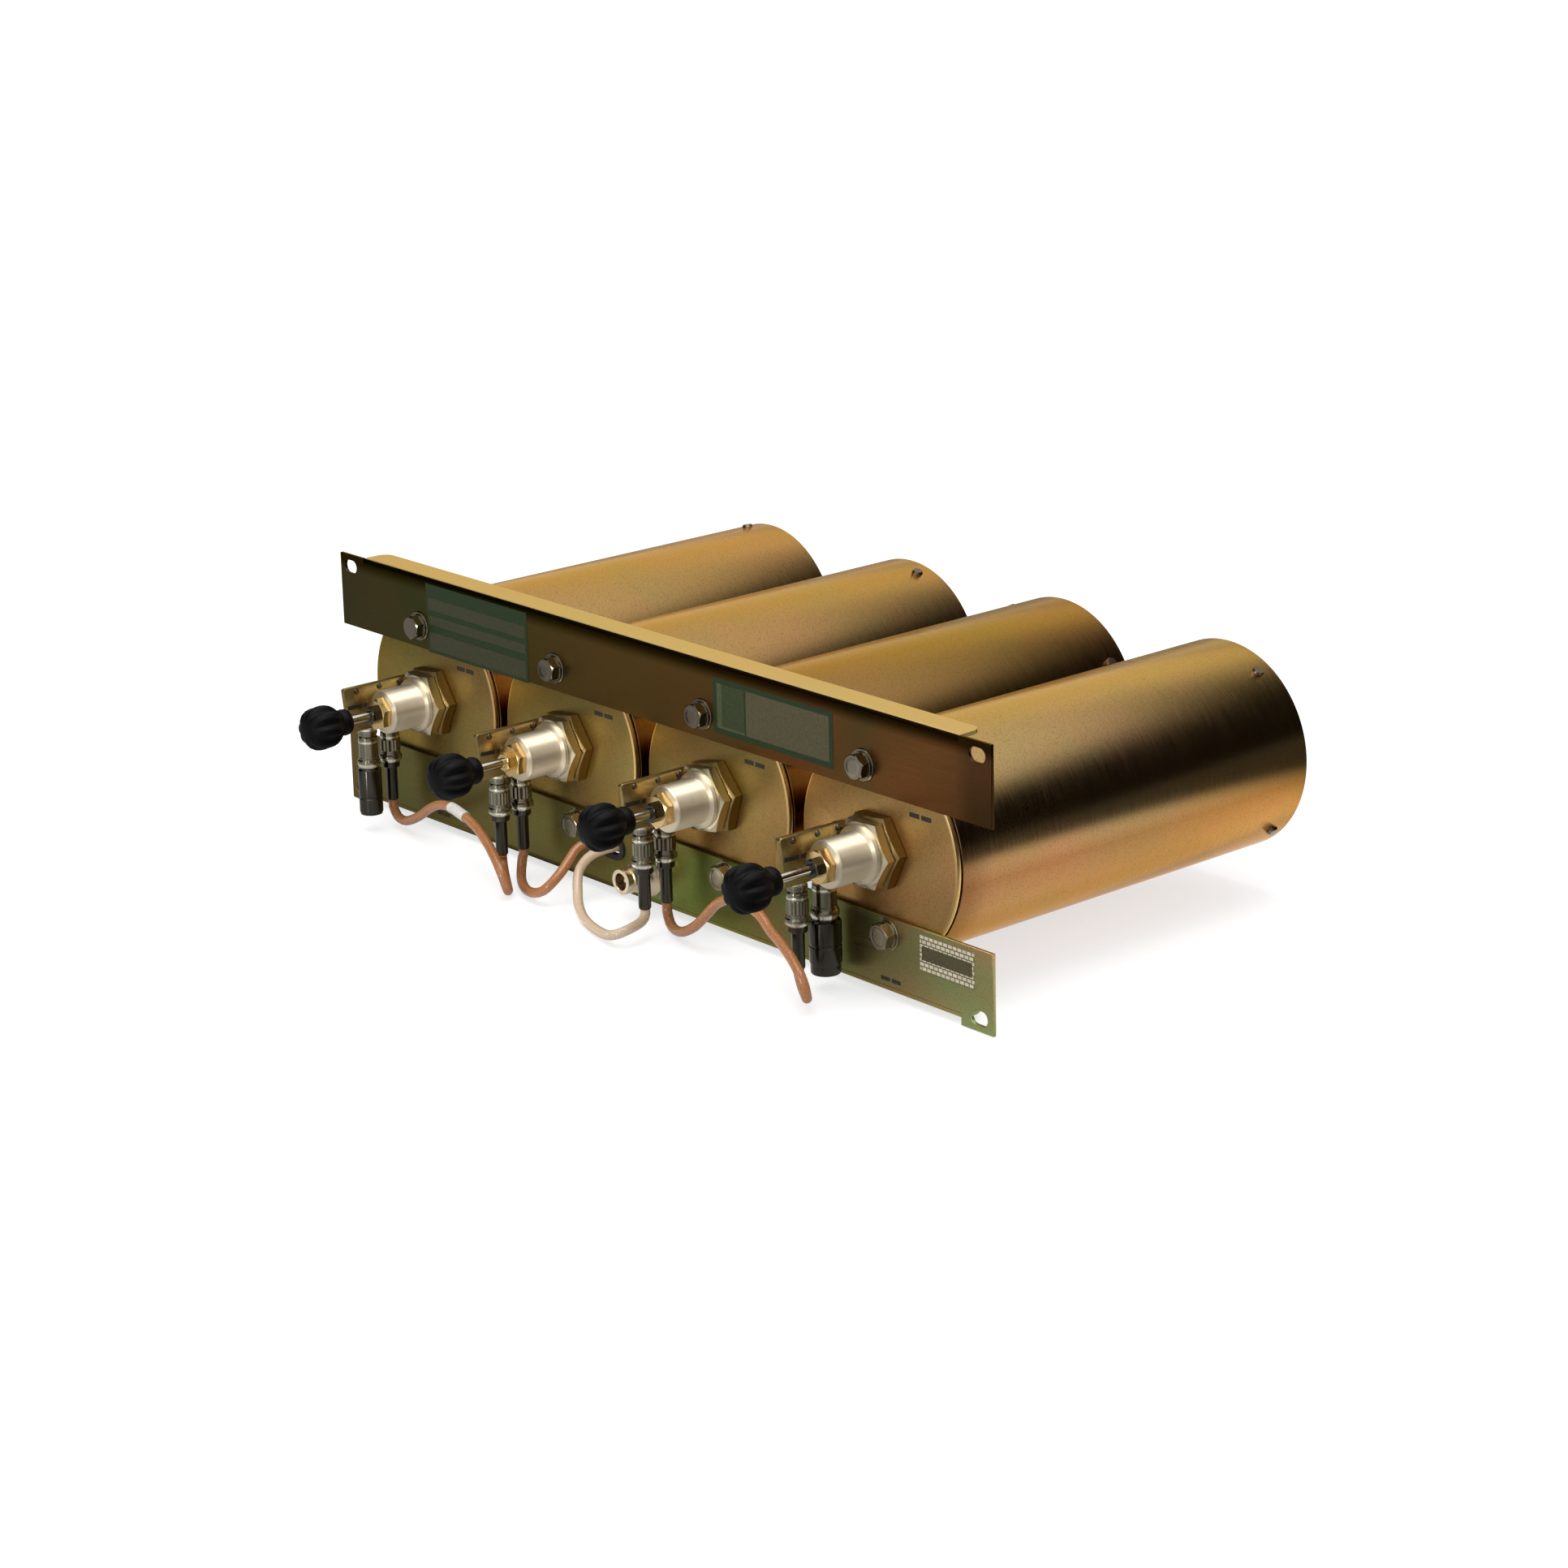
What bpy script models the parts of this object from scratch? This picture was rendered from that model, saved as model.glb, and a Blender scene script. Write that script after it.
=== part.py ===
"""Four-cavity rack-mount radio duplexer, in metres. X runs along the rack rails, Y goes back and Z is up. The numbers below count Y from the rails' front faces, and SHIFT then brings the origin under the middle of the bounding box, at the height of the bottom of the rack ears."""

import math

import bmesh
import bpy
from mathutils import Vector

MM = 0.001

# Rack panel: 19 inch wide, 3 rack units high, two rails of 1.5 inch with a flange bent back.
RACK_WIDTH = 482.6
EAR_WIDE = 20.3
HEIGHT = 132.6
RAIL_TALL = 38.1
SHEET = 1.8
BEND = 3.0
FLANGE_DEEP = 15.0
FLANGE_CORNER = 6.0
EAR_STEP = 2.5
SLOT_IN = 8.75
SLOT_INSET = 6.35
SLOT_WIDE = 10.3
SLOT_TALL = 6.8

# What touches in the real unit is this far apart here.
GAP = 0.3

# Cavities: 4 inch tubes, 4.375 inch apart, with a front plate and an end plate let in.
TUBE_R = 50.8
TUBE_WALL = 1.6
TUBE_APART = 9.525
TUBE_LONG = 223.9
AXIS_RISE = 1.7
PLATE_THICK = 2.5
SPIGOT_DEEP = 3.4
SEAM = 1.0
END_PLATE_THICK = 9.0
END_PLATE_INSET = 4.5

# Bolts that hold the front plates to the rails.
BOLT_IN = 9.6
BOLT_SIDE = 7.2
BOLT_R = 6.35
BOLT_TALL = 4.4
WASHER_R = 7.6
WASHER_THICK = 1.5

# Resonator: fixed inner conductor with the tuning plunger sliding inside it.
CONDUCTOR_R = 15.0
CONDUCTOR_WALL = 1.8
CONDUCTOR_LONG = 119.7
PLUNGER_CLEAR = 1.0
PLUNGER_WALL = 1.0
PLUNGER_FACE = 5.0
PLUNGER_LONG = 130.0
PLUNGER_IN = 22.0

# Tuner in front of each plate: lock nut, sleeve with its hex and collar, bush nut and jam nut.
LOCK_NUT_R = 18.8
LOCK_NUT_THICK = 5.5
HEX_R = 17.3
HEX_THICK = 4.9
COLLAR_R = 13.6
COLLAR_THICK = 2.2
SLEEVE_R = 11.1
SLEEVE_LONG = 19.0
NECK_R = 9.0
BUSH_R = 8.6
BUSH_THICK = 4.6
JAM_R = 4.7
JAM_THICK = 3.6
ROD_R = 2.3
ROD_FIT = 0.15
ROD_SPARE = 8.7

# Knob: a lobed head and a hub behind it. Its middle is KNOB_OUT in front of the jam nut.
KNOB_R = 11.3
KNOB_LOBES = 8
LOBE = 0.075
HUB_R = 6.5
HUB_LONG = 16.4
KNOB_OUT = 28.5
# How far each tuning rod is set in or out, as photographed.
SETTING = [0.0, -2.7, 0.6, -7.3]

# Loop box beside each tuner: a side plate, a body, a boss through the front plate, the coupling loop and two jacks.
SIDE_PLATE = 2.8
SIDE_OFF = 12.2
BOX_FRONT = 44.6
BODY_FRONT = 33.4
BODY_WIDE = 14.8
BOX_UP = 12.4
BOX_DOWN = 11.1
BOSS_R = 6.4
BOSS_OFF = 26.5
LOOP_R = 1.3
LOOP_DROP = 24.0
LOOP_DEEP = 46.0
JACK_R = 5.9
JACK_OFF = 22.0
JACK_LONG = 6.4
# Front and rear jack under each loop box, as photographed.
PAIRS = [(-24.8, -11.4), (-25.2, -12.0), (-25.4, -12.2), (-27.2, -11.0)]

# Antenna port on the lower rail, its tee block behind the rail, and the hole that the two jumpers pass through.
PORT_X = 9.0
PORT_Z = 19.0
PORT_R = 6.3
PORT_LONG = 20.3
PORT_NECK = 4.7
TEE_WIDE = 26.0
TEE_TALL = 15.0
TEE_DEEP = 22.7
PASS_X = -21.7
PASS_Z = 24.6
PASS_WIDE = 15.4
PASS_TALL = 9.4

CABLE_R = 2.4
CABLE_SIDES = 8

# Places that follow from the sizes above. Y is 0 on the rails' front faces.
HALF = RACK_WIDTH / 2
FLANGE_HALF = HALF - EAR_WIDE
AXIS_Z = HEIGHT / 2 + AXIS_RISE
PITCH = 2 * TUBE_R + TUBE_APART
CENTRES = [(i - 1.5) * PITCH for i in range(4)]
PLATE_Y = SHEET + GAP
PLATE_BACK = PLATE_Y + PLATE_THICK
TUBE_Y = PLATE_BACK + SEAM
TUBE_END = TUBE_Y + TUBE_LONG
SPIGOT_R = TUBE_R - TUBE_WALL - GAP
SPIGOT_END = PLATE_BACK + SPIGOT_DEEP
NUT_BACK = PLATE_Y - GAP
NUT_FRONT = NUT_BACK - LOCK_NUT_THICK
HEX_BACK = NUT_FRONT - GAP
HEX_FRONT = HEX_BACK - HEX_THICK
COLLAR_FRONT = HEX_FRONT - COLLAR_THICK
SLEEVE_FRONT = COLLAR_FRONT - SLEEVE_LONG
BUSH_BACK = SLEEVE_FRONT - GAP
BUSH_FRONT = BUSH_BACK - BUSH_THICK
JAM_FRONT = BUSH_FRONT - JAM_THICK
ROD_BORE = ROD_R + ROD_FIT
CONDUCTOR_Y = SPIGOT_END + GAP
PLUNGER_R = CONDUCTOR_R - CONDUCTOR_WALL - PLUNGER_CLEAR
PLUNGER_Y = SPIGOT_END + PLUNGER_IN
BOX_BACK = HEX_BACK - 1.9
KNOB_NOSE = 10.0 * KNOB_R / 11.3
FRONT = JAM_FRONT - KNOB_OUT + min(SETTING) - KNOB_NOSE

# Plug on a jumper, and the two port adapters, as radius and height below the jack's end.
PLUG = [(0, 0), (4.9, 0), (4.9, -12.2), (5.8, -13.2), (5.8, -15.8), (3.5, -16.0), (3.5, -19.8), (2.9, -20.0), (2.9, -36.6), (0, -36.6)]
SMALL_PORT = [(0, 0), (4.9, 0), (4.9, -12.2), (5.8, -13.2), (5.8, -15.8), (5.2, -16.2), (6.0, -17.6), (6.0, -41.3), (4.6, -41.3), (4.6, -30.2), (0, -30.2)]
LARGE_PORT = [(0, 0), (5.6, 0), (5.6, -11.8), (6.7, -12.8), (6.7, -15.8), (6.2, -16.4), (7.5, -18.0), (7.5, -42.8), (5.8, -42.8), (5.8, -30.2), (0, -30.2)]

SHIFT = Vector((0.0, -(FRONT + TUBE_END) / 2, 0.0))

for thing in list(bpy.data.objects):
    bpy.data.objects.remove(thing, do_unlink=True)


def solid(name, points, faces):
    """A closed mesh from millimetre points, its faces turned outwards."""
    mesh = bpy.data.meshes.new(name)
    mesh.from_pydata([(Vector(p) + SHIFT) * MM for p in points], [], faces)
    made = bmesh.new()
    made.from_mesh(mesh)
    bmesh.ops.remove_doubles(made, verts=made.verts, dist=1e-7)
    bmesh.ops.recalc_face_normals(made, faces=made.faces)
    made.to_mesh(mesh)
    made.free()
    node = bpy.data.objects.new(name, mesh)
    bpy.context.scene.collection.objects.link(node)
    return node


def skin(rows, steps, ring=False):
    """The faces between rows of points, one row a single point where it meets the axis."""
    faces = []
    pairs = list(zip(rows, rows[1:]))
    if ring:
        pairs.append((rows[-1], rows[0]))
    for one, two in pairs:
        for k in range(steps):
            n = (k + 1) % steps
            if len(one) == 1:
                faces.append((one[0], two[k], two[n]))
            elif len(two) == 1:
                faces.append((one[k], two[0], one[n]))
            else:
                faces.append((one[k], two[k], two[n], one[n]))
    return faces


def lathe(name, profile, centre, steps, axis="Y", ring=False, turn=0.0):
    """The profile of (radius, distance) turned round an axis through centre. A ring's profile closes on itself."""
    rows = []
    points = []
    for radius, along in profile:
        row = []
        for k in range(1 if radius == 0 else steps):
            a = 2 * math.pi * k / steps + math.radians(turn)
            u, v = radius * math.cos(a), radius * math.sin(a)
            if axis == "Y":
                place = (centre[0] + u, along, centre[1] + v)
            else:
                place = (centre[0] + u, centre[1] + v, along)
            row.append(len(points))
            points.append(place)
        rows.append(row)
    faces = skin(rows, steps, ring)
    return solid(name, points, faces)


def prism(name, outline, low, high, axis="Y"):
    """A flat outline pushed from low to high. Along Y the outline is (x, z), along X it is (y, z), along Z it is (x, y)."""
    def at(p, t):
        return {"Y": (p[0], t, p[1]), "X": (t, p[0], p[1]), "Z": (p[0], p[1], t)}[axis]

    n = len(outline)
    points = [at(p, low) for p in outline] + [at(p, high) for p in outline]
    faces = [tuple(range(n)), tuple(range(n, 2 * n))]
    faces += [(i, (i + 1) % n, n + (i + 1) % n, n + i) for i in range(n)]
    return solid(name, points, faces)


def box(name, low, high):
    outline = [(low[0], low[1]), (high[0], low[1]), (high[0], high[1]), (low[0], high[1])]
    return prism(name, outline, low[2], high[2], "Z")


def combine(first, second, operation):
    """first with second added or cut away. The second piece is used up."""
    change = first.modifiers.new("combine", "BOOLEAN")
    change.operation = operation
    change.solver = "EXACT"
    change.object = second
    graph = bpy.context.evaluated_depsgraph_get()
    graph.update()
    mesh = bpy.data.meshes.new_from_object(first.evaluated_get(graph))
    first.modifiers.clear()
    made = bmesh.new()
    made.from_mesh(mesh)
    bmesh.ops.remove_doubles(made, verts=made.verts, dist=1e-6)
    bmesh.ops.dissolve_degenerate(made, edges=made.edges, dist=1e-6)
    made.to_mesh(mesh)
    made.free()
    first.data = mesh
    mesh.name = first.name
    bpy.data.objects.remove(second, do_unlink=True)
    return first


def add(first, *others):
    for other in others:
        combine(first, other, "UNION")
    return first


def cut(first, *others):
    for other in others:
        combine(first, other, "DIFFERENCE")
    return first


def rounded(points, radius, steps=3):
    """The outline with each corner rounded."""
    made = []
    n = len(points)
    for i in range(n):
        here = Vector(points[i])
        back = (Vector(points[i - 1]) - here).normalized()
        ahead = (Vector(points[(i + 1) % n]) - here).normalized()
        for k in range(steps + 1):
            t = k / steps
            start, end = here + back * radius, here + ahead * radius
            made.append(tuple(start * (1 - t) ** 2 + here * 2 * t * (1 - t) + end * t ** 2))
    return made


def obround(centre, wide, tall, steps=4):
    r = tall / 2
    made = []
    for side in (1, -1):
        for k in range(steps + 1):
            a = math.radians(-90 + 180 * k / steps) + (0 if side > 0 else math.pi)
            made.append((centre[0] + side * (wide / 2 - r) + r * math.cos(a), centre[1] + r * math.sin(a)))
    return made


def rail(name, lower):
    """A rack rail: an upright sheet with its outer edge bent back as a flange, ears beyond it with slots, and its four bolts."""
    low = 0.0 if lower else HEIGHT - RAIL_TALL
    edge = EAR_STEP if lower else HEIGHT
    inward = 1 if lower else -1
    inner_r = BEND - SHEET

    def bend(radius, angles):
        return [
            (BEND - radius * math.cos(math.radians(a)), edge + inward * (BEND - radius * math.sin(math.radians(a))))
            for a in angles
        ]

    far = low + RAIL_TALL if lower else low
    outline = [(0.0, far)] + bend(BEND, (0, 30, 60, 90)) + [(FLANGE_DEEP, edge), (FLANGE_DEEP, edge + inward * SHEET)]
    outline += bend(inner_r, (90, 45, 0)) + [(SHEET, far)]
    sheet = prism(name, outline, -FLANGE_HALF, FLANGE_HALF, "X")
    for side in (-1, 1):
        ends = sorted((side * (FLANGE_HALF - 0.7), side * HALF))
        add(sheet, box("ear", (ends[0], 0.0, low), (ends[1], SHEET, low + RAIL_TALL)))
        slot_z = SLOT_INSET if lower else HEIGHT - SLOT_INSET
        cut(sheet, prism("slot", obround((side * (HALF - SLOT_IN), slot_z), SLOT_WIDE, SLOT_TALL), -1, SHEET + 1))
        past, turn_x, turn_y = side * (FLANGE_HALF + 1), FLANGE_HALF - FLANGE_CORNER, FLANGE_DEEP - FLANGE_CORNER
        corner = [(past, FLANGE_DEEP + 1), (past, turn_y)]
        for a in range(0, 91, 18):
            corner.append((side * (turn_x + FLANGE_CORNER * math.cos(math.radians(a))), turn_y + FLANGE_CORNER * math.sin(math.radians(a))))
        corner.append((side * turn_x, FLANGE_DEEP + 1))
        cut(sheet, prism("corner", corner, edge - SHEET - 1, edge + SHEET + 1, "Z"))
    reach = HEIGHT / 2 - RAIL_TALL + BOLT_IN
    bolt_z = AXIS_Z - reach if lower else AXIS_Z + reach
    for x in CENTRES:
        place = (x + BOLT_SIDE if lower else x - BOLT_SIDE, bolt_z)
        washer = lathe("washer", [(0, SHEET / 2), (WASHER_R, SHEET / 2), (WASHER_R, -WASHER_THICK), (0, -WASHER_THICK)], place, 12)
        top = -WASHER_THICK - BOLT_TALL
        head = lathe("head", [(0, -1.0), (BOLT_R, -1.0), (BOLT_R, top + 0.7), (BOLT_R - 0.75, top), (0, top)], place, 6, turn=12.0 if lower else 20.0)
        add(sheet, add(washer, head))
    if lower:
        # Both antenna jumpers pass through one hole to the tee behind the rail.
        cut(sheet, prism("pass", obround((PASS_X, PASS_Z), PASS_WIDE, PASS_TALL), -1, SHEET + 1))
        cut(sheet, prism("port hole", disc((PORT_X, PORT_Z), PORT_NECK + GAP, 16), -1, SHEET + 1))
    return sheet


def rod(radius, front, back):
    """The profile of a plain round bar."""
    return [(0, front), (radius, front), (radius, back), (0, back)]


def disc(place, radius, steps):
    """A round outline with flat sides."""
    return [(place[0] + radius * math.cos(2 * math.pi * k / steps), place[1] + radius * math.sin(2 * math.pi * k / steps)) for k in range(steps)]


def knob(name, head, hub, place):
    """The profile of (radius, distance) turned round Y with lobes on the head."""
    rows, points = [], []
    steps = KNOB_LOBES * 3
    for radius, along in [(0, -KNOB_NOSE)] + head + hub:
        row = []
        depth = LOBE if (radius, along) in head[1:] else 0.0
        for k in range(1 if radius == 0 else steps):
            a = 2 * math.pi * k / steps
            r = radius * (1 - depth * (0.5 - 0.5 * math.cos(KNOB_LOBES * a)))
            row.append(len(points))
            points.append((place[0] + r * math.cos(a), place[1] + along, AXIS_Z + r * math.sin(a)))
        rows.append(row)
    return solid(name, points, skin(rows, steps))


def cable(name, path, first, last):
    """A round cable through millimetre points, as a curve with a bevel. It leaves and arrives straight, in the given directions."""
    points = [Vector(p) for p in path]
    points.insert(1, points[0] + Vector(first) * CABLE_R)
    points.insert(-1, points[-1] - Vector(last) * CABLE_R)
    fine = [points[0]]
    for i in range(1, len(points) - 2):
        p0, p1, p2, p3 = points[i - 1 : i + 3]
        many = max(1, round((p2 - p1).length / 8.5))
        for k in range(many):
            t = k / many
            fine.append(
                0.5 * (2 * p1 + (p2 - p0) * t + (2 * p0 - 5 * p1 + 4 * p2 - p3) * t * t + (3 * p1 - p0 - 3 * p2 + p3) * t ** 3)
            )
    fine += points[-2:]
    curve = bpy.data.curves.new(name, "CURVE")
    curve.dimensions = "3D"
    curve.bevel_depth = CABLE_R * MM
    curve.bevel_resolution = CABLE_SIDES // 2 - 2
    curve.use_fill_caps = True
    spline = curve.splines.new("POLY")
    spline.points.add(len(fine) - 1)
    for point, place in zip(spline.points, fine):
        point.co = (*((place + SHIFT) * MM), 1.0)
    node = bpy.data.objects.new(name, curve)
    bpy.context.scene.collection.objects.link(node)
    return node


def wire(name, path, radius, sides):
    """A bent wire as a closed mesh, its ends square to the path."""
    points = [Vector(p) for p in path]
    rows, made = [], []
    for i, p in enumerate(points):
        ahead = (points[min(i + 1, len(points) - 1)] - points[max(i - 1, 0)]).normalized()
        side = Vector((1, 0, 0))
        side = (side - ahead * side.dot(ahead)).normalized()
        up = ahead.cross(side)
        row = []
        for k in range(sides):
            a = 2 * math.pi * k / sides
            row.append(len(made))
            made.append(tuple(p + side * radius * math.cos(a) + up * radius * math.sin(a)))
        rows.append(row)
    faces = [tuple(rows[0]), tuple(rows[-1])]
    for one, two in zip(rows, rows[1:]):
        for k in range(sides):
            n = (k + 1) % sides
            faces.append((one[k], one[n], two[n], two[k]))
    return solid(name, made, faces)


rail("upper_rail", False)
rail("lower_rail", True)

for i, x in enumerate(CENTRES):
    n = i + 1
    centre = (x, AXIS_Z)
    out = SETTING[i]
    turn = (5.0, 7.0, 12.0, 3.0)[i]

    # Tube, its end plate let in at the back, and the front plate with a spigot inside the tube.
    bore_r = TUBE_R - TUBE_WALL
    lathe(f"cavity_shell_{n}", [(TUBE_R, TUBE_Y), (TUBE_R, TUBE_END), (bore_r, TUBE_END), (bore_r, TUBE_Y)], centre, 40, ring=True)
    end_back = TUBE_END - END_PLATE_INSET
    lathe(f"rear_cap_{n}", rod(bore_r - GAP, end_back - END_PLATE_THICK, end_back), centre, 40)
    plate = lathe(
        f"front_plate_{n}",
        [(0, PLATE_Y), (TUBE_R, PLATE_Y), (TUBE_R, PLATE_BACK), (SPIGOT_R, PLATE_BACK), (SPIGOT_R, SPIGOT_END), (0, SPIGOT_END)],
        centre, 40,
    )
    cut(plate, prism("tuner hole", disc(centre, NECK_R + GAP, 20), PLATE_Y - 1, SPIGOT_END + 1))
    cut(plate, prism("loop hole", disc((x - BOSS_OFF, AXIS_Z), BOSS_R + GAP, 14), PLATE_Y - 1, SPIGOT_END + 1))

    # Resonator: the inner conductor stands on the front plate, and the cup-shaped plunger slides inside it on the rod.
    inner = CONDUCTOR_R - CONDUCTOR_WALL
    far = CONDUCTOR_Y + CONDUCTOR_LONG
    lathe(f"inner_conductor_{n}", [(CONDUCTOR_R, CONDUCTOR_Y), (CONDUCTOR_R, far), (inner, far), (inner, CONDUCTOR_Y)], centre, 20, ring=True)
    near = PLUNGER_Y + out
    cup = PLUNGER_R - PLUNGER_WALL
    lathe(
        f"tuning_plunger_{n}",
        [(ROD_BORE, near), (PLUNGER_R, near), (PLUNGER_R, near + PLUNGER_LONG), (cup, near + PLUNGER_LONG), (cup, near + PLUNGER_FACE), (ROD_BORE, near + PLUNGER_FACE)],
        centre, 16, ring=True,
    )
    middle = JAM_FRONT - KNOB_OUT + out
    hub_back = middle + HUB_LONG
    lathe(f"tuning_rod_{n}", rod(ROD_R, hub_back - 3.3, near + PLUNGER_FACE + ROD_SPARE), centre, 12)

    # Knob: a lobed head in front and a round hub behind, on the end of the rod.
    k = KNOB_R / 11.3
    head = [(4.6 * k, -9.4 * k), (9.6 * k, -6.8 * k), (KNOB_R, -1.8 * k), (11.0 * k, 3.2 * k), (HUB_R + 1.2, 8.2 * k)]
    hub = [(HUB_R, 9.2 * k), (HUB_R, HUB_LONG - 1.2), (HUB_R - 0.9, HUB_LONG), (ROD_BORE, HUB_LONG), (ROD_BORE, HUB_LONG - 3.8), (0, HUB_LONG - 3.8)]
    knob(f"knob_{n}", head, hub, (x, middle))

    # Gold lock nut against the plate, then the nickel sleeve: collar, barrel, neck through the plate, and its own hex.
    nut = lathe(
        f"lock_nut_{n}", [(0, NUT_BACK), (LOCK_NUT_R, NUT_BACK), (LOCK_NUT_R, NUT_FRONT + 0.7), (LOCK_NUT_R - 0.8, NUT_FRONT), (0, NUT_FRONT)],
        centre, 6, turn=turn,
    )
    cut(nut, prism("thread", disc(centre, NECK_R + GAP + 0.1, 20), NUT_FRONT - 1, NUT_BACK + 1))
    sleeve = lathe(
        f"tuner_sleeve_{n}",
        [(ROD_BORE, SLEEVE_FRONT), (SLEEVE_R - 0.5, SLEEVE_FRONT), (SLEEVE_R, SLEEVE_FRONT + 0.6), (SLEEVE_R, COLLAR_FRONT), (COLLAR_R, COLLAR_FRONT),
         (COLLAR_R, HEX_FRONT + 0.6), (NECK_R, HEX_FRONT + 1), (NECK_R, SPIGOT_END + 1.2), (ROD_BORE, SPIGOT_END + 1.2)],
        centre, 20, ring=True,
    )
    hex_turn = turn - 4
    add(sleeve, lathe("flats", [(NECK_R - 1, HEX_FRONT), (HEX_R - 0.7, HEX_FRONT), (HEX_R, HEX_FRONT + 0.8), (HEX_R, HEX_BACK), (NECK_R - 1, HEX_BACK)],
                      centre, 6, ring=True, turn=hex_turn))

    # Brass bush nut and the jam nut that grips the rod.
    bush = lathe(f"rod_nut_{n}", [(0, BUSH_BACK), (BUSH_R, BUSH_BACK), (BUSH_R, BUSH_FRONT + 0.8), (BUSH_R - 0.7, BUSH_FRONT), (0, BUSH_FRONT)], centre, 6, turn=turn + 14)
    jam = lathe("jam", [(0, BUSH_FRONT + 0.4), (JAM_R, BUSH_FRONT + 0.4), (JAM_R, JAM_FRONT + 0.6), (JAM_R - 0.5, JAM_FRONT), (0, JAM_FRONT)], centre, 6, turn=turn + 30)
    add(bush, jam)
    cut(bush, prism("thread", disc(centre, ROD_BORE, 12), JAM_FRONT - 1, BUSH_BACK + 1))

    # Loop box: side plate, body, boss through the front plate, coupling loop inside the tube, and two jacks below.
    top, low, right = AXIS_Z + BOX_UP, AXIS_Z - BOX_DOWN, x - SIDE_OFF
    outline = rounded([(-BOX_FRONT, top), (BOX_BACK, top - 0.2), (BOX_BACK, low), (-BOX_FRONT + 2.6, low)], 1.4, 2)
    holder = prism(f"loop_box_{n}", outline, right - SIDE_PLATE, right, "X")
    add(holder, box("body", (right - SIDE_PLATE - BODY_WIDE + 0.6, -BODY_FRONT, low + 0.2), (right - SIDE_PLATE + 0.6, BOX_BACK - 0.2, top - 6.0)))
    # The side plate is notched round the sleeve's collar and hex.
    cut(holder, prism("collar room", disc(centre, COLLAR_R + 0.4, 28), COLLAR_FRONT - 0.4, HEX_FRONT - 0.2))
    cut(holder, lathe("hex room", rod(HEX_R + 0.5, HEX_FRONT - 0.5, HEX_BACK + 1.1), centre, 6, turn=hex_turn))
    boss_x = x - BOSS_OFF
    add(holder, prism("boss", disc((boss_x, AXIS_Z), BOSS_R, 14), BOX_BACK - 1.1, SPIGOT_END + 4))
    bend = [(SPIGOT_END + 2.5, 0), (LOOP_DEEP - 9, 0), (LOOP_DEEP - 2, -LOOP_DROP / 6), (LOOP_DEEP, -LOOP_DROP / 2), (LOOP_DEEP - 2, -LOOP_DROP * 5 / 6),
            (LOOP_DEEP - 9, -LOOP_DROP), (SPIGOT_END + 0.4, -LOOP_DROP)]
    add(holder, wire("loop", [(boss_x, y, AXIS_Z + z) for y, z in bend], LOOP_R, 6))
    seat = low - JACK_LONG - GAP
    for letter, y in zip("ab", PAIRS[i]):
        place = (x - JACK_OFF, y)
        add(holder, lathe(
            "jack", [(0, low + 1.0), (JACK_R, low + 1.0), (JACK_R, low - 2.2), (JACK_R - 1.3, low - 2.2), (JACK_R - 1.3, low - JACK_LONG), (0, low - JACK_LONG)],
            place, 12, axis="Z",
        ))
        if (n, letter) == (1, "a"):
            lathe("port_adapter_1", [(r, seat + z) for r, z in SMALL_PORT], place, 14, axis="Z")
        elif (n, letter) == (4, "b"):
            lathe("port_adapter_4", [(r, seat + z) for r, z in LARGE_PORT], place, 14, axis="Z")
        else:
            lathe(f"cable_plug_{n}{letter}", [(r, seat + z) for r, z in PLUG], place, 12, axis="Z")

# Antenna port: a bulkhead jack on the lower rail, its neck through the rail and a tee block behind it.
mouth = -PORT_LONG
jack = lathe(
    "antenna_tee",
    [(0, mouth + 2.8), (0.9, mouth + 2.8), (0.9, mouth + 11.3), (PORT_R - 2.2, mouth + 11.3), (PORT_R - 2.2, mouth), (PORT_R, mouth), (PORT_R, mouth + 2.4),
     (PORT_R - 0.7, mouth + 2.8), (PORT_R - 0.7, mouth + 3.8), (PORT_R + 0.3, mouth + 4.4), (PORT_R + 0.3, mouth + 5.8), (PORT_R - 0.5, mouth + 7.4),
     (PORT_R + 1.2, -8.4), (PORT_R + 3.1, -5.6), (PORT_R + 4.7, -4.0), (PORT_R + 4.7, -GAP), (PORT_NECK, -GAP), (PORT_NECK, SHEET + 2), (0, SHEET + 2)],
    (PORT_X, PORT_Z), 14,
)
tee_x = PORT_X - 15.0
add(jack, box("tee", (tee_x, SHEET + 0.5, PORT_Z - TEE_TALL / 2), (tee_x + TEE_WIDE, SHEET + 0.5 + TEE_DEEP, PORT_Z + TEE_TALL / 2)))

# Jumpers between the loop boxes and the antenna tee, along their photographed routes.
cable("cable_a", [
    (-188.7, -11.4, 13.2), (-188.3, -11.6, 9.6), (-183.0, -12.8, 5.6), (-173.7, -14.2, 5.6), (-159.2, -16.5, 11.8), (-145.4, -19.0, 19.9),
    (-132.9, -21.5, 25.2), (-120.1, -24.0, 27.3), (-111.3, -26.0, 27.4), (-98.9, -29.0, 27.0), (-85.3, -33.0, 25.6), (-70.6, -38.0, 22.2),
    (-58.1, -42.5, 17.4), (-52.6, -43.4, 11.4), (-52.6, -41.4, 5.6), (-57.0, -37.6, 2.9), (-65.5, -32.2, 3.2), (-73.5, -27.6, 6.6), (-77.4, -25.4, 10.6),
    (-77.6, -25.2, 13.2)], first=(0, 0, -1), last=(0, 0, 1))
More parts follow.
